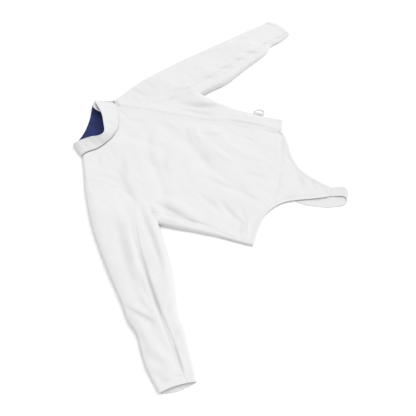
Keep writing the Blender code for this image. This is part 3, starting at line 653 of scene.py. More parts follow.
def turned_edges(face):
    """Edges turned in and stitched: line, width of the turning, and the side
    it lies on, 0 for both."""
    size = sizes()
    hem, cuff, fly = (v / MM for v in (size.hem, size.cuff, size.fly_edge))
    cuffs = [(sleeve.cuff(face), cuff, 0) for sleeve in SLEEVES.values()]
    if face > 0:
        return cuffs + [(front_hem, hem, 0), (left_hem, hem, 0),
                        (closure_line, fly, 1)]
    return cuffs + [(hem_back, hem, 0)]


def relief(plan, face):
    """Height in mm that creases, seams and turned edges add, and the trough
    mask of painted shade: how deep each point lies in troughs and grooves, and
    near the collar's foot, 0 and up. Across a crease the height falls off as the
    exponential of minus the squared distance over its width, and along it as a sine of the
    run."""
    rise = unevenness(plan, 5 if face > 0 else 6)
    trough = np.zeros(plan.shape[:-1])
    for row in TOP_CREASES if face > 0 else UNDER_CREASES:
        line = bend(row)
        left, right, height = row[6:]
        if height < 0 and face > 0:
            way = unit(line[-1] - line[0])
            beside = np.array([-way[1], way[0]])
            line = line + beside * (beside @ HOLLOW_SIDE) * CREASE_SHIFT * (left + right)
        gap, run, side, _ = nearest(plan, line, CREASE_REACH * max(left, right))
        fade = np.sin(np.pi * np.clip(run / length_of(line), 0, 1)) ** CREASE_FADE
        dent = fade * np.exp(-(gap / np.where(side > 0, left, right)) ** 2)
        rise = rise + height * sizes().crease * dent
        trough += np.clip(-height, 0, FULL_TROUGH) / FULL_TROUGH * dent
    for line, depth, ripple in seam_lines(face):
        gap, run, _, _ = nearest(plan, line, 40.0)
        if line is SLEEVES["right"].seam_top or line is SLEEVES["left"].seam_top:
            depth = depth * lookup(SLEEVE_SEAM_SHOW, run / length_of(line))
        groove = np.exp(-(gap / GROOVE) ** 2)
        swell = SWELL_SHARE * np.exp(-((gap - SWELL_AT) / SWELL_HALF) ** 2)
        rise = rise + depth * (swell - groove) + pucker(gap, run, ripple)
        trough += 0.5 * depth * groove
    for line, width, only in turned_edges(face):
        gap, run, side, _ = nearest(plan, line, width + TURNING_BEYOND)
        inside = (side * only >= 0) * np.clip((width - gap) / TURNING_RAMP, 0, 1)
        show = TURNING_SHOW
        if line is closure_line:
            show = lookup(FLY_SHOW, run / length_of(line))
        groove = (show * (side * only >= 0)
                  * np.exp(-((gap - width) / TURNING_GROOVE_HALF) ** 2))
        rise = (rise + TURNING_RISE * show * inside - TURNING_GROOVE * groove
                + pucker(abs(gap - width), run, TURNING_PUCKER))
        trough += 0.5 * groove
    if face > 0:
        # the cloth dips where the collar meets it, and a painted shadow darkens that line
        # through the trough mask
        gap, run, _, _ = nearest(plan, neck_front, 20.0)
        share = lookup(NECK_SHADE, run / length_of(neck_front))
        rise = rise - (NECK_DIP_LEAST + NECK_DIP * share) * np.exp(-(gap / NECK_DIP_HALF) ** 2)
        trough += NECK_DARK * share * np.exp(-(gap / NECK_DARK_HALF) ** 2)
    return rise, np.clip(trough, 0, DARKEST)


def heights(plan):
    """Height of the top face away from folded edges, and the fold height: the
    body's and the sleeve's, blended by a smooth step of the distance from the
    middle line, which is held back below the underarms."""
    x, y = plan[..., 0], plan[..., 1]
    body = lookup(BODY_LOFT, y)
    sleeve = lookup(SLEEVE_LOFT, np.abs(x))
    t = np.clip((np.abs(x) - SLEEVE_FROM) / (SLEEVE_FULL - SLEEVE_FROM), 0, 1)
    beyond = np.clip((np.abs(x) - ARMPIT[0]) / ARMPIT_BLEND[0], 0, 1)
    t = t * t * (3 - 2 * t) * np.clip((y - ARMPIT[1]) / ARMPIT_BLEND[1] + beyond, 0, 1)
    high = body * (1 - t) + sleeve * t
    for row in TOP_FOLDS:
        gap = nearest(plan, bend(row), CREASE_REACH * row[6])[0]
        high = high + row[8] * np.exp(-(gap / row[6]) ** 2)
    return high, BODY_FOLD + (SLEEVE_FOLD - BODY_FOLD) * t


def surface(plan, face, drop=0.0):
    """Plan points put on the top (1) or under (-1) face, mm. From each folded
    edge the top climbs by a tight quarter round plus a wide rise, which is a
    power of one less the square of the way left; the climbs from the four
    edges are multiplied. Columns: x, y, z, then the cloth's own two
    coordinates, then the trough mask."""
    high, fold = heights(plan)
    level = high - fold if face > 0 else fold
    kinds = [BODY_FOLD, SLEEVE_FOLD]
    turn = np.interp(fold, kinds, [BODY_ROUND, SLEEVE_ROUND]) if face > 0 else UNDER_ROUND
    reach = np.maximum(turn * level, LEAST_REACH)
    climb = np.ones(plan.shape[:-1])
    weave = plan.copy()
    crown = np.interp(fold, kinds, [BODY_CROWN, SLEEVE_CROWN]) * (face > 0)
    spread = reach * np.interp(fold, kinds, [BODY_CROWN_REACH, SLEEVE_CROWN_REACH])
    power = np.interp(fold, kinds, [BODY_CROWN_POWER, SLEEVE_CROWN_POWER])
    for edge in EDGES:
        gap, _, _, foot = nearest(plan, edge, EDGE_REACH)
        out = (foot - plan) / np.maximum(gap, 1e-6)[..., None]
        near = 1 - np.clip((gap - EDGE_SLACK) / (reach * (1 - crown)), 0.0, 1.0)
        wide = 1 - np.clip((gap - EDGE_SLACK) / spread, 0.0, 1.0)
        quarter = ((1 - crown) * np.sqrt(1.0 - near ** 2)
                   + crown * (1.0 - wide ** 2) ** power)
        weave = weave + out * (0.5 * level * (1 - quarter))[..., None]
        climb = climb * quarter
    rise, trough = relief(plan, face)
    if face > 0:
        z = fold + (level + rise) * climb - drop
    else:
        z = fold * (1.0 - climb) + np.maximum(rise, 0.0) * climb
    z = np.maximum(z, 0.0)
    return np.concatenate([plan, z[..., None], weave, trough[..., None]], axis=-1)


def lay(plan, face, drop=0.0):
    """Surface grid whose faces point out of the jacket."""
    grid = surface(plan, face, drop)
    turn = np.cross(plan[1:, :-1] - plan[:-1, :-1], plan[:-1, 1:] - plan[:-1, :-1])
    return grid[:, ::-1] if turn.sum() * face > 0 else grid


def patch(left, right, bottom, top):
    """Plan grid filled between four lines that meet at their ends: the sum of
    the two blends across, less the blend of the four corners."""
    v = running(steps(left) + steps(right))[:, None, None]
    u = running(steps(bottom) + steps(top))[None, :, None]
    corner = ((1 - u) * (1 - v) * bottom[0] + u * (1 - v) * bottom[-1]
              + (1 - u) * v * top[0] + u * v * top[-1])
    return ((1 - v) * bottom[None] + v * top[None]
            + (1 - u) * left[:, None] + u * right[:, None] - corner)


# ------------------------------------------------------------------- meshes
def grid_triangles(rows, cols):
    """Two triangles for each cell of a grid of points."""
    ids = np.arange(rows * cols).reshape(rows, cols)
    a, b, c, d = ids[:-1, :-1], ids[:-1, 1:], ids[1:, 1:], ids[1:, :-1]
    return np.stack([a, b, c, a, c, d], -1).reshape(-1, 3)


def point_normals(points, triangles):
    """Area-weighted unit normals."""
    a, b, c = (points[triangles[:, k]] for k in range(3))
    total = np.zeros_like(points)
    for k in range(3):
        np.add.at(total, triangles[:, k], np.cross(b - a, c - a))
    return unit(total)


def put_in_scene(name, data):
    """New object of the data, linked to the scene."""
    item = bpy.data.objects.new(name, data)
    bpy.context.scene.collection.objects.link(item)
    return item


def make_piece(name, points, triangles, weave, shade, material, body="jacket"):
    """Smooth object from points in mm, with its cloth coordinates for each
    triangle corner in metres and the trough mask for each point."""
    world = (points - [MIDDLE[0], MIDDLE[1], 0.0]) * MM
    mesh = bpy.data.meshes.new(name)
    mesh.vertices.add(len(world))
    mesh.vertices.foreach_set("co", world.astype(np.float32).ravel())
    mesh.loops.add(triangles.size)
    mesh.loops.foreach_set("vertex_index", triangles.astype(np.int32).ravel())
    mesh.polygons.add(len(triangles))
    mesh.polygons.foreach_set("loop_start", np.arange(0, triangles.size, 3, dtype=np.int32))
    mesh.update(calc_edges=True)
    mesh.shade_smooth()
    mesh.uv_layers.new(name="Weave").data.foreach_set(
        "uv", (weave * MM).astype(np.float32).ravel())
    mesh.attributes.new("trough", "FLOAT", "POINT").data.foreach_set(
        "value", shade.astype(np.float32))
    mesh.materials.append(material)
    piece = put_in_scene(name, mesh)
    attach(piece, body)
    return piece


def turned(weave, angle):
    """Cloth coordinates turned by an angle, so that the grain follows a sleeve."""
    c, s = np.cos(angle), np.sin(angle)
    return weave @ np.array([[c, s], [-s, c]])


def shell(name, grids, wall, material, grain=0.0, edge=0.35):
    """Closed thin piece from surface grids: points laid twice are joined, the
    wall goes inwards along the normals, and the free edge is rounded by one
    ring of points pushed out by a share of the wall, between crisp edges."""
    raw = np.concatenate([g.reshape(-1, g.shape[-1]) for g in grids])
    start = np.cumsum([0] + [g.shape[0] * g.shape[1] for g in grids])
    corner = np.concatenate([grid_triangles(*g.shape[:2]) + k
                             for g, k in zip(grids, start)])
    _, first, index = np.unique(np.round(raw[:, :3] / 0.004).astype(np.int64), axis=0,
                                return_index=True, return_inverse=True)
    index = index.reshape(-1)
    triangles = index[corner]
    whole = (triangles != np.roll(triangles, 1, axis=1)).all(1)
    triangles, corner = triangles[whole], corner[whole]
    points, shade = raw[first, :3], raw[first, 5]
    weave = turned(raw[:, 3:5], grain)[corner]
    normal = point_normals(points, triangles)

    n = len(points)
    sides = ([0, 1], [1, 2], [2, 0])
    ways, at = (np.concatenate([each[:, k] for k in sides]) for each in (triangles, weave))
    rim = ~np.isin(ways[:, 0] * n + ways[:, 1], ways[:, 1] * n + ways[:, 0])
    ways, at = ways[rim], at[rim]
    out = np.zeros_like(points)
    side = unit(np.cross(points[ways[:, 1]] - points[ways[:, 0]],
                         normal[ways[:, 0]] + normal[ways[:, 1]]))
    np.add.at(out, ways[:, 0], side)
    np.add.at(out, ways[:, 1], side)
    out = unit(out)

    reach = np.min([np.linalg.norm(points[:, :2] - np.array(line[0]), axis=1)
                    for line in (RIGHT_INNER, LEFT_INNER)], axis=0)
    wall = wall * (1 - UNDERARM_THIN * np.clip(1 - reach / UNDERARM_REACH, 0, 1))[:, None]
    outer = points - out * GAP / 2
    inner = outer - normal * wall
    ring = np.unique(ways)
    middle = outer[ring] + out[ring] * wall[ring] * edge - normal[ring] * wall[ring] / 2
    every = np.vstack([outer, inner, middle])
    every[:, 2] = np.maximum(every[:, 2], 0.0)

    a, b = ways.T
    am, bm = (2 * n + np.searchsorted(ring, v) for v in (a, b))
    strips = np.concatenate([np.stack(t, 1) for t in (
        (b, a, am), (b, am, bm), (bm, am, a + n), (bm, a + n, b + n))])
    p, q = at[:, 0], at[:, 1]
    strip_weave = np.concatenate([np.stack(t, 1) for t in (
        (q, p, p), (q, p, q), (q, p, p), (q, p, q))])
    piece = make_piece(
        name, every, np.vstack([triangles, triangles[:, ::-1] + n, strips]),
        np.concatenate([weave, weave[:, ::-1], strip_weave]),
        np.concatenate([shade, shade * 0.5, shade[ring]]), material)
    ends = np.empty(2 * len(piece.data.edges), dtype=np.int32)
    piece.data.edges.foreach_get("vertices", ends)
    ends = np.sort(ends.reshape(-1, 2), axis=1).astype(np.int64)
    rims = np.sort(np.vstack([ways, ways + n]), axis=1).astype(np.int64)
    crisp = np.isin(ends[:, 0] * 3 * n + ends[:, 1], rims[:, 0] * 3 * n + rims[:, 1])
    piece.data.attributes.new("sharp_edge", "BOOLEAN", "EDGE").data.foreach_set(
        "value", crisp)
    return piece


def with_weave(grid, mask=0.0):
    """Grid of points with cloth coordinates from the lengths along its rows
    and columns, and one trough value."""
    u = reached(np.linalg.norm(np.diff(grid, axis=1), axis=2).mean(0))
    v = reached(np.linalg.norm(np.diff(grid, axis=0), axis=2).mean(1))
    extra = [np.broadcast_to(part, grid.shape[:2]) for part in (u, v[:, None], mask)]
    return np.concatenate([grid, np.stack(extra, -1)], -1)


def grid_normals(grid):
    """Unit normals of a grid of points: columns' way crossed with rows' way."""
    return unit(np.cross(np.gradient(grid, axis=1), np.gradient(grid, axis=0)))


# ------------------------------------------------------------ cloth pieces
def shoulder_strip(arm_under, neck_share, shoulder):
    """Strip turned under a shoulder fold, up to the shoulder seam."""
    neck_turn = respace(neck_back, neck_share)
    arm_turn = arm_under[::-1][:SHOULDER_TURN + 1]
    return lay(patch(arm_turn, neck_turn, shoulder,
                     between(arm_turn[-1], neck_turn[-1], even(SHOULDER_CELLS))), -1)


def front_grids():
    """Main front with its tail, and the strip turned under the right shoulder."""
    shoulder = split(right_shoulder, SHOULDER_CELLS)
    top = np.vstack([shoulder, neck_right[1:]])
    cells = len(top) - 1
    first = int(cells * 0.45)
    bottom = np.vstack([split(hem_tail, first),
                        split(TAIL_END, 8)[1:],
                        split(tail_hem, cells - first - 8)[1:]])
    left = np.vstack([right_seam, right_arm_top[TURN_CELLS + 1:]])
    right = respace(closure_line, running(steps(left)))
    under = shoulder_strip(right_arm_under, back_margin * eased(SHOULDER_TURN, 1.6), shoulder)
    return [lay(patch(left, right, bottom, top), 1), under]


def beside_closure(shift, rise, end, share):
    """Line beside the closure from the hem up to a neckline point."""
    line = closure_line + [shift, 0.0]
    line = line[(line[:, 1] > CLOSURE[0][1] + rise) & (line[:, 1] < end[1] - 8)]
    first = [CLOSURE[0][0] + shift, CLOSURE[0][1] + rise]
    return respace(np.vstack([first, line, end]), share)


def front_left_grids():
    """Narrow front beyond the closure: margin under the fly, face, and the
    strips turned under the side fold and the shoulder fold."""
    rows = np.vstack([left_fold, left_arm_top[1:]])
    share = running(steps(rows))
    start = closure_top - neck_step
    inner = beside_closure(-FLY_WIDTH, 3, respace(neck_front, [start])[0], share)
    outer = beside_closure(FLY_EASE, 1, neck_left[0], share)
    marks = even(FLY_CELLS)
    drop = FLY_DROP * np.interp(marks, [0, 0.45, 0.6, 0.8, 1], [1, 1, 0.95, 0.4, 0])
    fly = patch(inner, outer, between(inner[0], outer[0], marks),
                respace(neck_front, start + (neck_ease - start) * marks))
    shoulder = split(left_shoulder, SHOULDER_CELLS)
    top = np.vstack([neck_left, shoulder[::-1][1:]])
    bottom = between(outer[0], left_fold[0], 1 - eased(len(top) - 1, 1.5)[::-1])
    side = patch(left_fold, left_seam_under,
                 between(left_fold[0], left_seam_under[0], eased(TURN_CELLS)),
                 left_arm_under[:TURN_CELLS + 1])
    under = shoulder_strip(left_arm_under, 1 - back_margin * eased(SHOULDER_TURN, 1.6),
                           shoulder)
    return [lay(fly, 1, drop[None, :]), lay(patch(outer, rows, bottom, top), 1),
            lay(side, -1), under]


def back_grids():
    """Back: flat under the jacket, wrapped round the right side fold."""
    over = patch(right_fold, right_seam,
                 between(right_fold[0], right_seam[0], eased(TURN_CELLS)),
                 right_arm_top[:TURN_CELLS + 1])
    under = patch(right_fold, right_flat,
                  between(right_fold[0], right_flat[0], eased(TURN_CELLS)),
                  right_arm_under[:TURN_CELLS + 1])
    arm = slice(TURN_CELLS + 1, TURN_CELLS + 1 + ARM_LOW + ARM_BACK)
    right = np.vstack([right_flat, right_arm_under[arm]])
    left = np.vstack([left_seam_under, left_arm_under[arm]])
    turn = SHOULDER_TURN + 1
    neck = respace(neck_back, back_margin + (1 - 2 * back_margin) * even(BACK_NECK))
    right_shoulder_seam = between(right_arm_under[-turn], neck[0], even(SHOULDER_CELLS))
    left_shoulder_seam = between(neck[-1], left_arm_under[-turn], even(SHOULDER_CELLS))
    top = np.vstack([right_shoulder_seam, neck[1:], left_shoulder_seam[1:]])
    bottom = split(hem_back, len(top) - 1)
    return [lay(over, 1), lay(under, -1), lay(patch(right, left, bottom, top), -1)]


def sleeve_grids(side, part):
    """Top or under sleeve: its share of the top face and of the under face,
    joined at the folded edge."""
    s = SLEEVES[side]
    first = TURN_CELLS + ARM_LOW
    if part == "top":
        fold, top, under = s.outer, s.top[first:][::-1], s.under[first:][::-1]
    else:
        fold, top, under = s.inner, s.top[:first + 1], s.under[:first + 1]
    grids = []
    for seam, arm, face in ((s.seam_top, top, 1), (s.seam_under, under, -1)):
        cuff = s.bowed(between(fold[-1], s.ends[face], eased(len(arm) - 1, 1.5)), face)
        grids.append(lay(patch(fold, seam, arm, cuff), face))
    return grids


# ------------------------------------------------------------------ collar
def collar_run(marks, line, rim, face):
    """Base and rim points of one run of the collar, in mm."""
    base = surface(respace(line, marks)[None], face)[0, :, :3]
    return np.stack([base, respace(spline(rim, 321), marks)])


def run_normal(run):
    """Outward normal of a run between its base and rim."""
    return unit(np.cross(np.gradient(run.mean(0), axis=0), run[1] - run[0]))


def collar_face():
    """Outer face of the collar, base to rim in rows: straight between base and
    rim, bowed outwards by a sine of the height, with soft dents round it."""
    around = length_of(neck_front)
    end = 1 - LAP_CLEAR / around
    half = 0.5 * eased(COLLAR_BACK, 1.7)
    back_marks = np.concatenate([half, 1 - half[::-1][1:]])
    lap_marks = np.concatenate([np.linspace(1 - LAP / around, end, COLLAR_LAP),
                                1 - (1 - end) * eased(COLLAR_END, 1.5)[::-1][1:]])
    lap = collar_run(lap_marks, neck_front, RIM_FRONT, 1)
    back = collar_run(back_marks[::-1][1:], neck_back, RIM_BACK, -1)
    front = collar_run(collar_marks[1:], neck_front, RIM_FRONT, 1)
    fade = np.clip((1 - lap_marks) / (1 - end), 0, 1)[:, None]
    lap = lap - run_normal(lap) * fade * LAP_IN
    show = np.sin(np.pi * np.clip((1 - lap_marks) * around / LAP, 0, 1))[:, None]
    lap[1] += show * LAP_SHOW
    line = np.concatenate([lap, back, front], axis=1)
    low = line[0] + unit(line[1] - line[0]) * COLLAR_GAP
    share = even(COLLAR_ROWS)[:, None, None]
    grid = low + (line[1] - low) * share
    run = reached(steps(grid.mean(0)))
    dents = sum(size * np.sin(run / wave + phase) for size, wave, phase in COLLAR_DENTS)
    standing = np.clip((grid[-1, :, 2] - 6) / 20, 0, 1)
    bow = np.sin(np.pi * share[..., 0]) * COLLAR_BOW * (1 + dents) * standing
    at, half_wide, depth = COLLAR_SEAM
    stitched = -depth * np.exp(-((share[..., 0] - at) / half_wide) ** 2)
    grid = grid + grid_normals(grid) * (bow + stitched)[..., None]
    grid[..., 2] = np.maximum(grid[..., 2], 0.0)
    return grid


def strap_grid():
    """Inner face of the crotch strap: straight rows between its two edges."""
    strap = np.array(STRAP, float)
    far, near = spline(strap[:, :3], 181), spline(strap[:, 3:], 181)
    share = even(20)[:, None, None]
    return far + (near - far) * share


def ring_path():
    """Wire centre line of the D from the bar's middle: a straight bar, two
    small round corners and a half-ellipse arch."""
    half, corner = RING_WIDTH / 2, RING_CORNER
    reach = RING_REACH - corner
    angle = np.linspace(-np.pi / 2, np.pi / 2, 49)
    arch = np.column_stack([corner + reach * np.cos(angle), half * np.sin(angle)])
    turn = np.linspace(0, np.pi / 2, 10)[1:]
    bend_in = np.column_stack([corner * (1 - np.sin(turn)),
                               half - corner * (1 - np.cos(turn))])
    bar = np.column_stack([np.zeros(9), np.linspace(half - corner, corner - half, 11)[1:-1]])
    flat = np.vstack([arch, bend_in, bar, bend_in[::-1] * [1, -1]])
    return np.column_stack([flat[:, 0] * np.cos(RING_DROOP), flat[:, 1],
                            -flat[:, 0] * np.sin(RING_DROOP)]) + RING_PLACE


def tube(path, radius, sides=20):
    """Closed round wire: a circle of points carried round a loop, on the loop's
    flat normal and the way across it."""
    ahead = unit(np.roll(path, -1, axis=0) - np.roll(path, 1, axis=0))
    up = np.array([np.sin(RING_DROOP), 0.0, np.cos(RING_DROOP)])
    across = np.cross(ahead, up)
    angle = np.linspace(0, 2 * np.pi, sides, endpoint=False)[None, :, None]
    points = (path[:, None] + radius * (np.cos(angle) * across[:, None]
                                        + np.sin(angle) * up))
    rows = len(path)
    ids = np.arange(rows * sides).reshape(rows, sides)
    nxt, turn = np.roll(ids, -1, 0), np.roll(ids, -1, 1)
    both = np.roll(nxt, -1, 1)
    triangles = np.stack([ids, turn, both, ids, both, nxt], -1).reshape(-1, 3)
    return points.reshape(-1, 3), triangles


def tab_grid():
    """Webbing folded round the ring's bar: a half round with two flat ends
    that close on each other at the side seam."""
    angle = np.linspace(-np.pi / 2, np.pi / 2, 25)
    radius = sizes().ring_wire / MM / 2 + TAB_CLEAR + TAB_WALL
    out = np.linspace(*TAB_ENDS, 8)[:, None]
    lower = np.hstack([out, -radius * np.interp(out, TAB_ENDS, [0.5, 1.0])])
    loop = np.column_stack([radius * np.cos(angle), radius * np.sin(angle)])
    profile = np.vstack([lower, loop, lower[::-1] * [1, -1]])
    across = np.linspace(-TAB_WIDTH / 2, TAB_WIDTH / 2, 28)
    grid = np.empty((len(across), len(profile), 3))
    grid[..., 0] = RING_PLACE[0] + profile[None, :, 0]
    grid[..., 1] = RING_PLACE[1] + across[:, None]
    grid[..., 2] = RING_PLACE[2] + profile[None, :, 1]
    return grid


# --------------------------------------------------------------- stitching
def aside(line, shift):
    """Line moved sideways by a distance, to the left of its way."""
    way = unit(np.gradient(line, axis=0))
    return line + np.column_stack([-way[:, 1], way[:, 0]]) * shift


def stitch_run(path, normal, spacing, length):
    """Middle, way and normal of each stitch along a path of points in mm."""
    total = length_of(path)
    count = max(int((total - spacing) / spacing), 1)
    marks = (np.arange(count) + 0.5) / count
    ahead = respace(path, marks + length / 2 / total)
    behind = respace(path, marks - length / 2 / total)
    way = unit(ahead - behind)
    up = respace(np.hstack([path, normal]), marks)[:, 3:]
    up -= way * (up * way).sum(1)[:, None]
    return (ahead + behind) / 2, way, unit(up)


def on_surface(line, face, count=400):
    """A plan line laid on the cloth, with the surface's normals."""
    line = split(line, count)
    middle = surface(line[None], face)[0, :, :3]
    side = aside(line, 0.8)
    other = surface(side[None], face)[0, :, :3]
    normal = unit(np.cross(np.gradient(middle, axis=0), other - middle))
    return middle, normal * np.where(normal[:, 2:] * face < 0, -1, 1)


def stitches(name, runs, thread):
    """One object of stitches: short round threads, five rings of points each,
    thinned at both ends and sunk a little into the cloth."""
    length, radius = sizes().stitch / MM, sizes().thread / MM / 2
    spacing = length + sizes().stitch_gap / MM
    parts = [stitch_run(path, normal, spacing, length) for path, normal in runs]
    middle, way, up = (np.concatenate([p[k] for p in parts]) for k in range(3))
    across = np.cross(way, up)
    along, girth, sunk = STITCH_ALONG * length, STITCH_GIRTH * radius, STITCH_SUNK * radius
    angle = np.linspace(0, 2 * np.pi, STITCH_SIDES, endpoint=False)
    ring = (middle[:, None, None] + way[:, None, None] * along[:, None, None]
            + up[:, None, None] * sunk[:, None, None]
            + across[:, None, None] * (girth[:, None] * np.cos(angle))[..., None]
            + up[:, None, None] * (girth[:, None] * np.sin(angle))[..., None])
    shape = (len(along), STITCH_SIDES)
    size = len(along) * STITCH_SIDES
    ids = np.arange(size).reshape(shape)
    a, b = ids[:-1], ids[1:]
    c, d = np.roll(b, -1, 1), np.roll(a, -1, 1)
    fan = np.array([[0, k, k + 1] for k in range(1, STITCH_SIDES - 1)])
    one = np.vstack([np.stack([a, b, c], -1).reshape(-1, 3),
                     np.stack([a, c, d], -1).reshape(-1, 3),
                     fan, (fan + size - STITCH_SIDES)[:, ::-1]])
    triangles = (one[None] + size * np.arange(len(middle))[:, None, None]).reshape(-1, 3)
    points = ring.reshape(-1, 3)
    weave = np.stack([np.broadcast_to(along[:, None], shape),
                      np.broadcast_to(angle * radius, shape)], -1).reshape(-1, 2)
    weave = np.tile(weave, (len(middle), 1))[triangles]
    return make_piece(name, points, triangles, weave, np.zeros(len(points)), thread)


# --------------------------------------------------------------- materials
class Wire:
    """A shader socket whose arithmetic adds Math nodes."""

    def __init__(self, finish, socket):
        self.finish, self.socket = finish, socket

    def math(self, operation, *values):
        return self.finish.node("ShaderNodeMath", {"operation": operation},
                                dict(enumerate((self,) + values)))

    def __add__(self, other):
        return self.math("ADD", other)

    def __mul__(self, other):
        return self.math("MULTIPLY", other)

    def __sub__(self, other):
        return self.math("SUBTRACT", other)

    def __rsub__(self, other):
        return self.finish.node("ShaderNodeMath", {"operation": "SUBTRACT"},
                                {0: other, 1: self})

    __radd__ = __add__

    def sine(self):
        return self.math("SINE")

    def between(self, low, high):
        """0 below low, 1 above high, smooth between."""
        return self.finish.node("ShaderNodeMapRange", {"interpolation_type": "SMOOTHSTEP"},
                                {"Value": self, "From Min": low, "From Max": high})


class Finish:
    """One material, with a single method that adds any node."""

    def __init__(self, name):
        self.material = bpy.data.materials.new(name)
        self.material.use_nodes = True
        self.tree = self.material.node_tree
        self.shader = self.tree.nodes["Principled BSDF"]

    def node(self, kind, settings, values, output=0):
        made = self.tree.nodes.new(kind)
        for key, value in settings.items():
            setattr(made, key, value)
        for key, value in values.items():
            self.put(made.inputs[key], value)
        return Wire(self, made.outputs[output])

    def put(self, socket, value):
        if isinstance(value, Wire):
            self.tree.links.new(value.socket, socket)
        else:
            socket.default_value = value

    def set(self, **values):
        for key, value in values.items():
            self.put(self.shader.inputs[key.replace("_", " ")], value)

    def cloth_axes(self):
        """The cloth's own two coordinates, in metres."""
        uv = self.node("ShaderNodeUVMap", {"uv_map": "Weave"}, {})
        axes = [self.node("ShaderNodeSeparateXYZ", {}, {0: uv}, k) for k in (0, 1)]
        return uv, axes[0], axes[1]

    def noise(self, vector, scale, detail=2.0, rough=0.5):
        return self.node("ShaderNodeTexNoise", {"noise_dimensions": "3D"},
                         {"Vector": vector, "Scale": scale, "Detail": detail,
                          "Roughness": rough})

    def object_place(self):
        return self.node("ShaderNodeTexCoord", {}, {}, "Object")

    def mix(self, factor, first, second):
        return self.node("ShaderNodeMix", {"data_type": "RGBA"},
                         {0: factor, 6: first, 7: second}, 2)

    def bump(self, height, strength, depth):
        return self.node("ShaderNodeBump", {},
                         {"Height": height, "Strength": strength, "Distance": depth})


def shaded(colour, share):
    """A colour made darker or lighter by a share, with full alpha."""
    return tuple(c * share for c in colour[:3]) + (1.0,)


def twill_cloth(name, colour, pitch, painted_shade=0.10):
    """White twill: slanted ribs crossed by a finer thread, uneven from thread
    to thread, with painted shade that makes it greyer in grooves and troughs."""
    cloth = Finish(name)
    uv, u, v = cloth.cloth_axes()
    place = cloth.object_place()
    turn = 2 * np.pi / pitch
    slub = cloth.noise(uv, 260.0, 3.0)
    rib = ((u + v * 0.62) * turn + slub * 2.2).sine()
    pick = ((v - u * 0.2) * (turn * 1.9)).sine()
    weave = rib * 0.36 + pick * 0.14 + 0.5
    broad = cloth.noise(place, 5.0, 3.0)
    fine = cloth.noise(place, 42.0, 3.0)
    trough = cloth.node("ShaderNodeAttribute", {"attribute_name": "trough"}, {}, "Fac")
    tone = cloth.mix(broad, shaded(colour, 0.975), shaded(colour, 1.0))
    tone = cloth.mix(fine * 0.5 + weave * 0.5, shaded(colour, 0.965), tone)
    # painted shade: the colour darkens with the trough mask in creases, seam grooves and along
    # the collar's foot
    tone = cloth.node("ShaderNodeVectorMath", {"operation": "SCALE"},
                      {0: tone, 3: 1 - trough * painted_shade})
    cloth.set(Base_Color=tone,
              Roughness=0.80 + fine * 0.10,
              Normal=cloth.bump(weave * 0.8 + slub * 0.25, 0.35, 0.00025),
              Specular_IOR_Level=0.25, Sheen_Weight=0.10, Sheen_Roughness=0.5)
    return cloth.material


def plain_lining(name, colour):
    """Blue plain weave: two crossed threads, mottled darker and lighter in soft random
    patches.
    """
    cloth = Finish(name)
    uv, u, v = cloth.cloth_axes()
    place = cloth.object_place()
    turn = 2 * np.pi / 0.0009
    weave = (u * turn).sine() * (v * turn).sine() * 0.5 + 0.5
    mottle = cloth.noise(place, 34.0, 4.0, 0.6).between(0.35, 0.68)
    tone = cloth.mix(mottle, shaded(colour, 0.72), shaded(colour, 1.35))
    cloth.set(Base_Color=cloth.mix(weave * 0.35, tone, shaded(colour, 0.8)),
              Roughness=0.72 + mottle * 0.12,
              Normal=cloth.bump(weave + cloth.noise(uv, 140.0, 3.0) * 0.6, 0.4, 0.0003),
              Specular_IOR_Level=0.3, Sheen_Weight=0.15, Sheen_Roughness=0.4)
    return cloth.material


def ribbed_webbing(name, colour, pitch, across):
    """Elastic or webbing: cords along it, crossed by short picks."""
    band = Finish(name)
    uv, u, v = band.cloth_axes()
    along, over = (u, v) if across else (v, u)
    turn = 2 * np.pi / pitch
    cord = (over * turn).sine().math("ABSOLUTE")
    pick = (along * (turn * 1.4) + (over * turn * 0.5).sine() * 1.2).sine()
    weave = cord * 0.7 + pick * 0.3
    fine = band.noise(uv, 300.0, 2.0)
    tone = band.mix(weave * 0.6 + fine * 0.4, shaded(colour, 0.86), shaded(colour, 1.0))
    band.set(Base_Color=tone, Roughness=0.70 + fine * 0.12,
             Normal=band.bump(weave, 0.5, 0.0004),
             Specular_IOR_Level=0.3, Sheen_Weight=0.08, Sheen_Roughness=0.5)
    return band.material


def plated_wire(name, colour):
    """Nickel-plated steel with hairlines and a few dull spots."""
    metal = Finish(name)
    place = metal.object_place()
    spots = metal.noise(place, 160.0, 4.0).between(0.45, 0.7)
    hair = metal.noise(place, 900.0, 2.0)
    metal.set(Base_Color=metal.mix(spots * 0.5, shaded(colour, 1.0), shaded(colour, 0.82)),
              Metallic=1.0, Roughness=0.22 + spots * 0.16 + hair * 0.06,
              Normal=metal.bump(hair, 0.12, 0.0001))
    return metal.material


def twisted_thread(name, colour):
    """White sewing thread, with the slanted lines of its twist."""
    thread = Finish(name)
    _, u, v = thread.cloth_axes()
    twist = (u * 9000.0 + v * 5200.0).sine() * 0.5 + 0.5
    thread.set(Base_Color=thread.mix(twist, shaded(colour, 0.90), shaded(colour, 1.0)),
               Roughness=0.55 + twist * 0.15, Normal=thread.bump(twist, 0.4, 0.0001),
               Sheen_Weight=0.1)
    return thread.material


def plain_floor(name, colour):
    """Pale, even studio floor."""
    floor = Finish(name)
    tone = floor.noise(floor.object_place(), 0.6, 1.0)
    floor.set(Base_Color=floor.mix(tone, shaded(colour, 0.995), shaded(colour, 1.0)),
              Roughness=0.95, Specular_IOR_Level=0.1)
    return floor.material


_made = {}


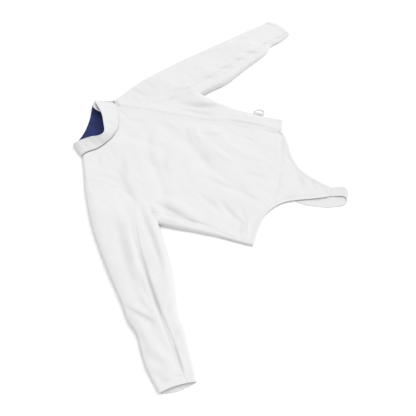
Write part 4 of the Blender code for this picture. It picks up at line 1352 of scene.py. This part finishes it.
def material(name):
    """Each finish, made once and shared."""
    if name not in _made:
        colours = bpy.context.scene.jacket_colours
        make = {
            "cotton": lambda: twill_cloth("jacket_cotton", colours.cotton, 0.0011),
            # the collar gets a little stronger painted shade from its trough mask
            "collar": lambda: twill_cloth("collar_cotton", colours.cotton, 0.0011, 0.12),
            "lining": lambda: plain_lining("collar_lining_cloth", colours.lining),
            "elastic": lambda: ribbed_webbing("strap_elastic", colours.elastic, 0.0022, True),
            "webbing": lambda: ribbed_webbing("ring_webbing", colours.elastic, 0.0016, False),
            "thread": lambda: twisted_thread("white_thread", colours.thread),
            "nickel": lambda: plated_wire("ring_steel", colours.nickel),
            "floor": lambda: plain_floor("studio_floor", colours.floor),
        }
        _made[name] = make[name]()
    return _made[name]


# ---------------------------------------------------------------- settings
def metres(name, description, default):
    return bpy.props.FloatProperty(name=name, description=description,
                                   default=default, min=0.0, unit="LENGTH", precision=5)


def tint(name, description, default):
    return bpy.props.FloatVectorProperty(name=name, description=description, size=3,
                                         default=default, subtype="COLOR", min=0, max=1)


class JacketSizes(bpy.types.PropertyGroup):
    """Sizes of the cloth and its sewing."""

    cloth: metres("Cloth", "Thickness of the jacket cloth", 0.0018)
    hem: metres("Hem", "Width of the stitched hem", 0.010)
    cuff: metres("Cuff", "Width of the turned cuff", 0.020)
    fly_edge: metres("Fly edge", "Width of the stitched band along the fly", 0.011)
    stitch: metres("Stitch", "Length of one stitch", 0.0027)
    stitch_gap: metres("Stitch gap", "Space between stitches", 0.0008)
    thread: metres("Thread", "Thickness of the thread", 0.0006)
    ring_wire: metres("Ring wire", "Thickness of the D-ring's wire", 0.003)
    light: bpy.props.FloatProperty(
        name="Light", description="Strength of the slanting light", default=1.8,
        min=0.0, max=10.0)
    crease: bpy.props.FloatProperty(
        name="Creases", description="Share of the full crease height", default=1.5,
        min=0.0, max=2.0, subtype="FACTOR")


class JacketColours(bpy.types.PropertyGroup):
    """Colours of the finishes."""

    cotton: tint("Cotton", "Jacket and collar cloth", (0.70, 0.70, 0.705))
    lining: tint("Lining", "Collar lining and neck facing", (0.016, 0.028, 0.125))
    elastic: tint("Elastic", "Crotch strap and ring tab", (0.74, 0.74, 0.74))
    thread: tint("Thread", "Sewing thread", (0.78, 0.78, 0.78))
    nickel: tint("Nickel", "D-ring", (0.66, 0.66, 0.65))
    floor: tint("Floor", "Studio floor", (0.97, 0.97, 0.97))


class Build:
    """What the building operators share."""

    bl_options = {"REGISTER", "UNDO"}

    def execute(self, context):
        if not context.scene.camera and self.bl_idname != "JACKET_OT_stage":
            raise RuntimeError("Build the stage first")
        self.build()
        return {"FINISHED"}


def cloth_piece(name, node, grids, wall=None,
                finish="cotton", grain=0.0):
    """A sheet of cloth that stands for one node."""
    piece = shell(name, grids, wall or sizes().cloth / MM, material(finish), grain)
    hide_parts(node)
    return piece


class JACKET_OT_front(Build, bpy.types.Operator):
    """Main front with its tail, lapped over the fly"""

    bl_idname = "jacket.front"
    bl_label = "Front"

    def build(self):
        cloth_piece("front_cloth", "front", front_grids())


class JACKET_OT_front_left(Build, bpy.types.Operator):
    """Narrow left front beyond the fly"""

    bl_idname = "jacket.front_left"
    bl_label = "Left front"

    def build(self):
        cloth_piece("front_left_cloth", "front_left", front_left_grids())


class JACKET_OT_back(Build, bpy.types.Operator):
    """Back, flat on the table and round the right side"""

    bl_idname = "jacket.back"
    bl_label = "Back"

    def build(self):
        cloth_piece("back_cloth", "back", back_grids())


class JACKET_OT_sleeves(Build, bpy.types.Operator):
    """Two-piece sleeves"""

    bl_idname = "jacket.sleeves"
    bl_label = "Sleeves"

    def build(self):
        cut = {"top": ((0.30, 0.70), 0.150), "under": ((0.19, 0.57), 0.074)}
        for side, lean in (("right", -SLEEVE_GRAIN), ("left", SLEEVE_GRAIN)):
            for part, (flat, area) in cut.items():
                node = side + "_" + part + "_sleeve"
                cloth_piece(node + "_cloth", node, sleeve_grids(side, part),
                            grain=lean)


class JACKET_OT_collar(Build, bpy.types.Operator):
    """Stand collar with its lining, lapped at the left"""

    bl_idname = "jacket.collar"
    bl_label = "Collar"

    def build(self):
        face = collar_face()
        # painted shade on the collar: a painted shadow along its foot, weighted by the
        # neckline shadow table, and a faint painted shade where that weight is low, on the
        # front part that faces the light
        share = np.ones(face.shape[1])
        share[1 - len(collar_marks):] = lookup(NECK_SHADE, collar_marks[1:])
        foot = np.exp(-(even(COLLAR_ROWS)[:, None] * COLLAR_HEIGHT / 2.5) ** 2)
        shade = 5.0 * share * foot + 0.45 * (1 - share)
        cloth_piece("collar_cloth", "collar", [with_weave(face, shade)],
                    COLLAR_WALL, "collar")
        lining = face - grid_normals(face) * (COLLAR_WALL + LAYER_GAP)
        lining = np.concatenate([lining[:-1], lining[-2:-1] * 0.35 + lining[-1:] * 0.65])
        cloth_piece("collar_lining_cloth", "collar_lining", [with_weave(lining)],
                    LINING, "lining")


class JACKET_OT_facing(Build, bpy.types.Operator):
    """Blue facing inside the back of the neck"""

    bl_idname = "jacket.facing"
    bl_label = "Neck facing"

    def build(self):
        top = respace(neck_back, np.linspace(*FACING_SPAN, 60)) - [0.0, 0.2]
        low = top - [0.0, FACING_DEPTH]
        grid = lay(patch(between(low[0], top[0], even(18)),
                         between(low[-1], top[-1], even(18)), low, top), -1)[:, ::-1]
        grid[..., 2] += sizes().cloth / MM + LAYER_GAP + LINING
        cloth_piece("neck_facing_cloth", "neck_facing", [grid],
                    LINING, "lining")


class JACKET_OT_strap(Build, bpy.types.Operator):
    """Elastic crotch strap, curled at the tail's end"""

    bl_idname = "jacket.strap"
    bl_label = "Crotch strap"

    def build(self):
        cloth_piece("crotch_strap_elastic", "crotch_strap", [with_weave(strap_grid())],
                    ELASTIC, "elastic")


class JACKET_OT_ring(Build, bpy.types.Operator):
    """D-ring in its webbing tab at the left side"""

    bl_idname = "jacket.ring"
    bl_label = "D-ring and tab"

    def build(self):
        points, triangles = tube(ring_path(), sizes().ring_wire / MM / 2)
        ring = make_piece("d_ring_wire", points, triangles,
                          np.zeros((len(triangles), 3, 2)), np.zeros(len(points)),
                          material("nickel"), "ring")
        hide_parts("d_ring")
        cloth_piece("ring_tab_webbing", "ring_tab", [with_weave(tab_grid())],
                    TAB_WALL,
                    "webbing")


class JACKET_OT_stitching(Build, bpy.types.Operator):
    """Rows of stitches along seams, hems, collar and strap"""

    bl_idname = "jacket.stitching"
    bl_label = "Stitching"

    def build(self):
        size = sizes()
        hem, cuff, fly = (v / MM for v in (size.hem, size.cuff, size.fly_edge))
        right, left = SLEEVES["right"], SLEEVES["left"]
        thread = material("thread")
        body = [
            on_surface(aside(hem_tail, hem)[4:-4], 1),
            on_surface(aside(tail_hem, hem)[6:-8], 1),
            on_surface(aside(left_hem, hem) + [[9, 0], [-3, 0]], 1, 60),
            on_surface(aside(closure_line, fly)[4:-6], 1),
            on_surface(aside(closure_line, FLY_STITCH)[2:-4], 1),
            on_surface(aside(right_seam, -SEAM_STITCH)[3:-3], 1),
            on_surface(aside(right_armhole, -SEAM_STITCH)[24:-10], 1),
            on_surface(aside(left_armhole, SEAM_STITCH)[10:-10], 1),
        ] + [on_surface(np.array(row, float), 1, 20) for row in TAIL_STITCHES]
        sleeves = []
        for sleeve, way in ((right, 1), (left, -1)):
            across = sleeve.inner[-1] - sleeve.outer[-1]
            up = unit(sleeve.outer[-12] - sleeve.outer[-1]) * cuff
            line = sleeve.outer[-1] + across * between([0.06], [0.94], even(24))
            sleeves += [on_surface(aside(sleeve.seam_top, -SLEEVE_STITCH * way)[3:-3], 1),
                        on_surface(sleeve.bowed(line, 1) + up, 1, 120)]
        stitches("body_stitches", body, thread)
        stitches("sleeve_stitches", sleeves, thread)
        face = collar_face()
        normal = grid_normals(face)
        first = face.shape[1] // 4
        rows = [(face[k, first:] + normal[k, first:] * 0.1, normal[k, first:])
                for k in (COLLAR_ROWS - 1, 1)]
        stitches("collar_stitches", rows, thread)


class JACKET_OT_stage(Build, bpy.types.Operator):
    """Floor, studio light and camera"""

    bl_idname = "jacket.stage"
    bl_label = "Stage"

    def build(self):
        scene = bpy.context.scene
        mesh = bpy.data.meshes.new("studio_floor")
        corners = [(-1, -1), (1, -1), (1, 1), (-1, 1)]
        mesh.from_pydata([(x * FLOOR_HALF, y * FLOOR_HALF, FLOOR_LEVEL) for x, y in corners],
                         [], [(0, 1, 2, 3)])
        mesh.materials.append(material("floor"))
        put_in_scene("studio_floor", mesh)

        world = bpy.data.worlds.new("studio")
        world.use_nodes = True
        sky = world.node_tree.nodes["Background"]
        sky.inputs["Color"].default_value = (1, 1, 1, 1)
        sky.inputs["Strength"].default_value = SKY
        scene.world = world
        light = bpy.data.lights.new("window_light", "SUN")
        light.energy, light.angle = sizes().light, np.radians(SUN_SPREAD)
        point_at(put_in_scene("window_light", light), SUN_PLACE, (0.0, 0.0, 0.0))
        camera = bpy.data.cameras.new("camera")
        camera.lens, camera.sensor_width = LENS, SENSOR
        scene.camera = put_in_scene("camera", camera)
        point_at(scene.camera, EYE, EYE_AIM)
        scene.view_settings.view_transform = "Standard"


def point_at(item, place, aim):
    """Puts an item at a place with its -Z way towards the aim."""
    item.location = place
    item.rotation_euler = (Vector(aim) - Vector(place)).to_track_quat("-Z", "Y").to_euler()


BUILDERS = (JACKET_OT_stage, JACKET_OT_front, JACKET_OT_front_left, JACKET_OT_back,
            JACKET_OT_sleeves, JACKET_OT_collar, JACKET_OT_facing, JACKET_OT_strap,
            JACKET_OT_ring, JACKET_OT_stitching)


class JACKET_PT_panel(bpy.types.Panel):
    """Sizes, colours and the builders in order"""

    bl_idname = "JACKET_PT_panel"
    bl_label = "Fencing jacket"
    bl_space_type = "VIEW_3D"
    bl_region_type = "UI"
    bl_category = "Jacket"

    def draw(self, context):
        for group in (context.scene.jacket_sizes, context.scene.jacket_colours):
            for key in group.__annotations__:
                self.layout.prop(group, key)
        for builder in BUILDERS:
            self.layout.operator(builder.bl_idname)


CLASSES = (JacketSizes, JacketColours) + BUILDERS + (JACKET_PT_panel,)


def register():
    for item in CLASSES:
        bpy.utils.register_class(item)
    bpy.types.Scene.jacket_sizes = bpy.props.PointerProperty(type=JacketSizes)
    bpy.types.Scene.jacket_colours = bpy.props.PointerProperty(type=JacketColours)


def unregister():
    del bpy.types.Scene.jacket_colours
    del bpy.types.Scene.jacket_sizes
    for item in reversed(CLASSES):
        bpy.utils.unregister_class(item)


def main():
    """Builds everything in order."""
    register()
    for builder in BUILDERS:
        group, call = builder.bl_idname.split(".")
        getattr(getattr(bpy.ops, group), call)()


if __name__ == "__main__":
    main()
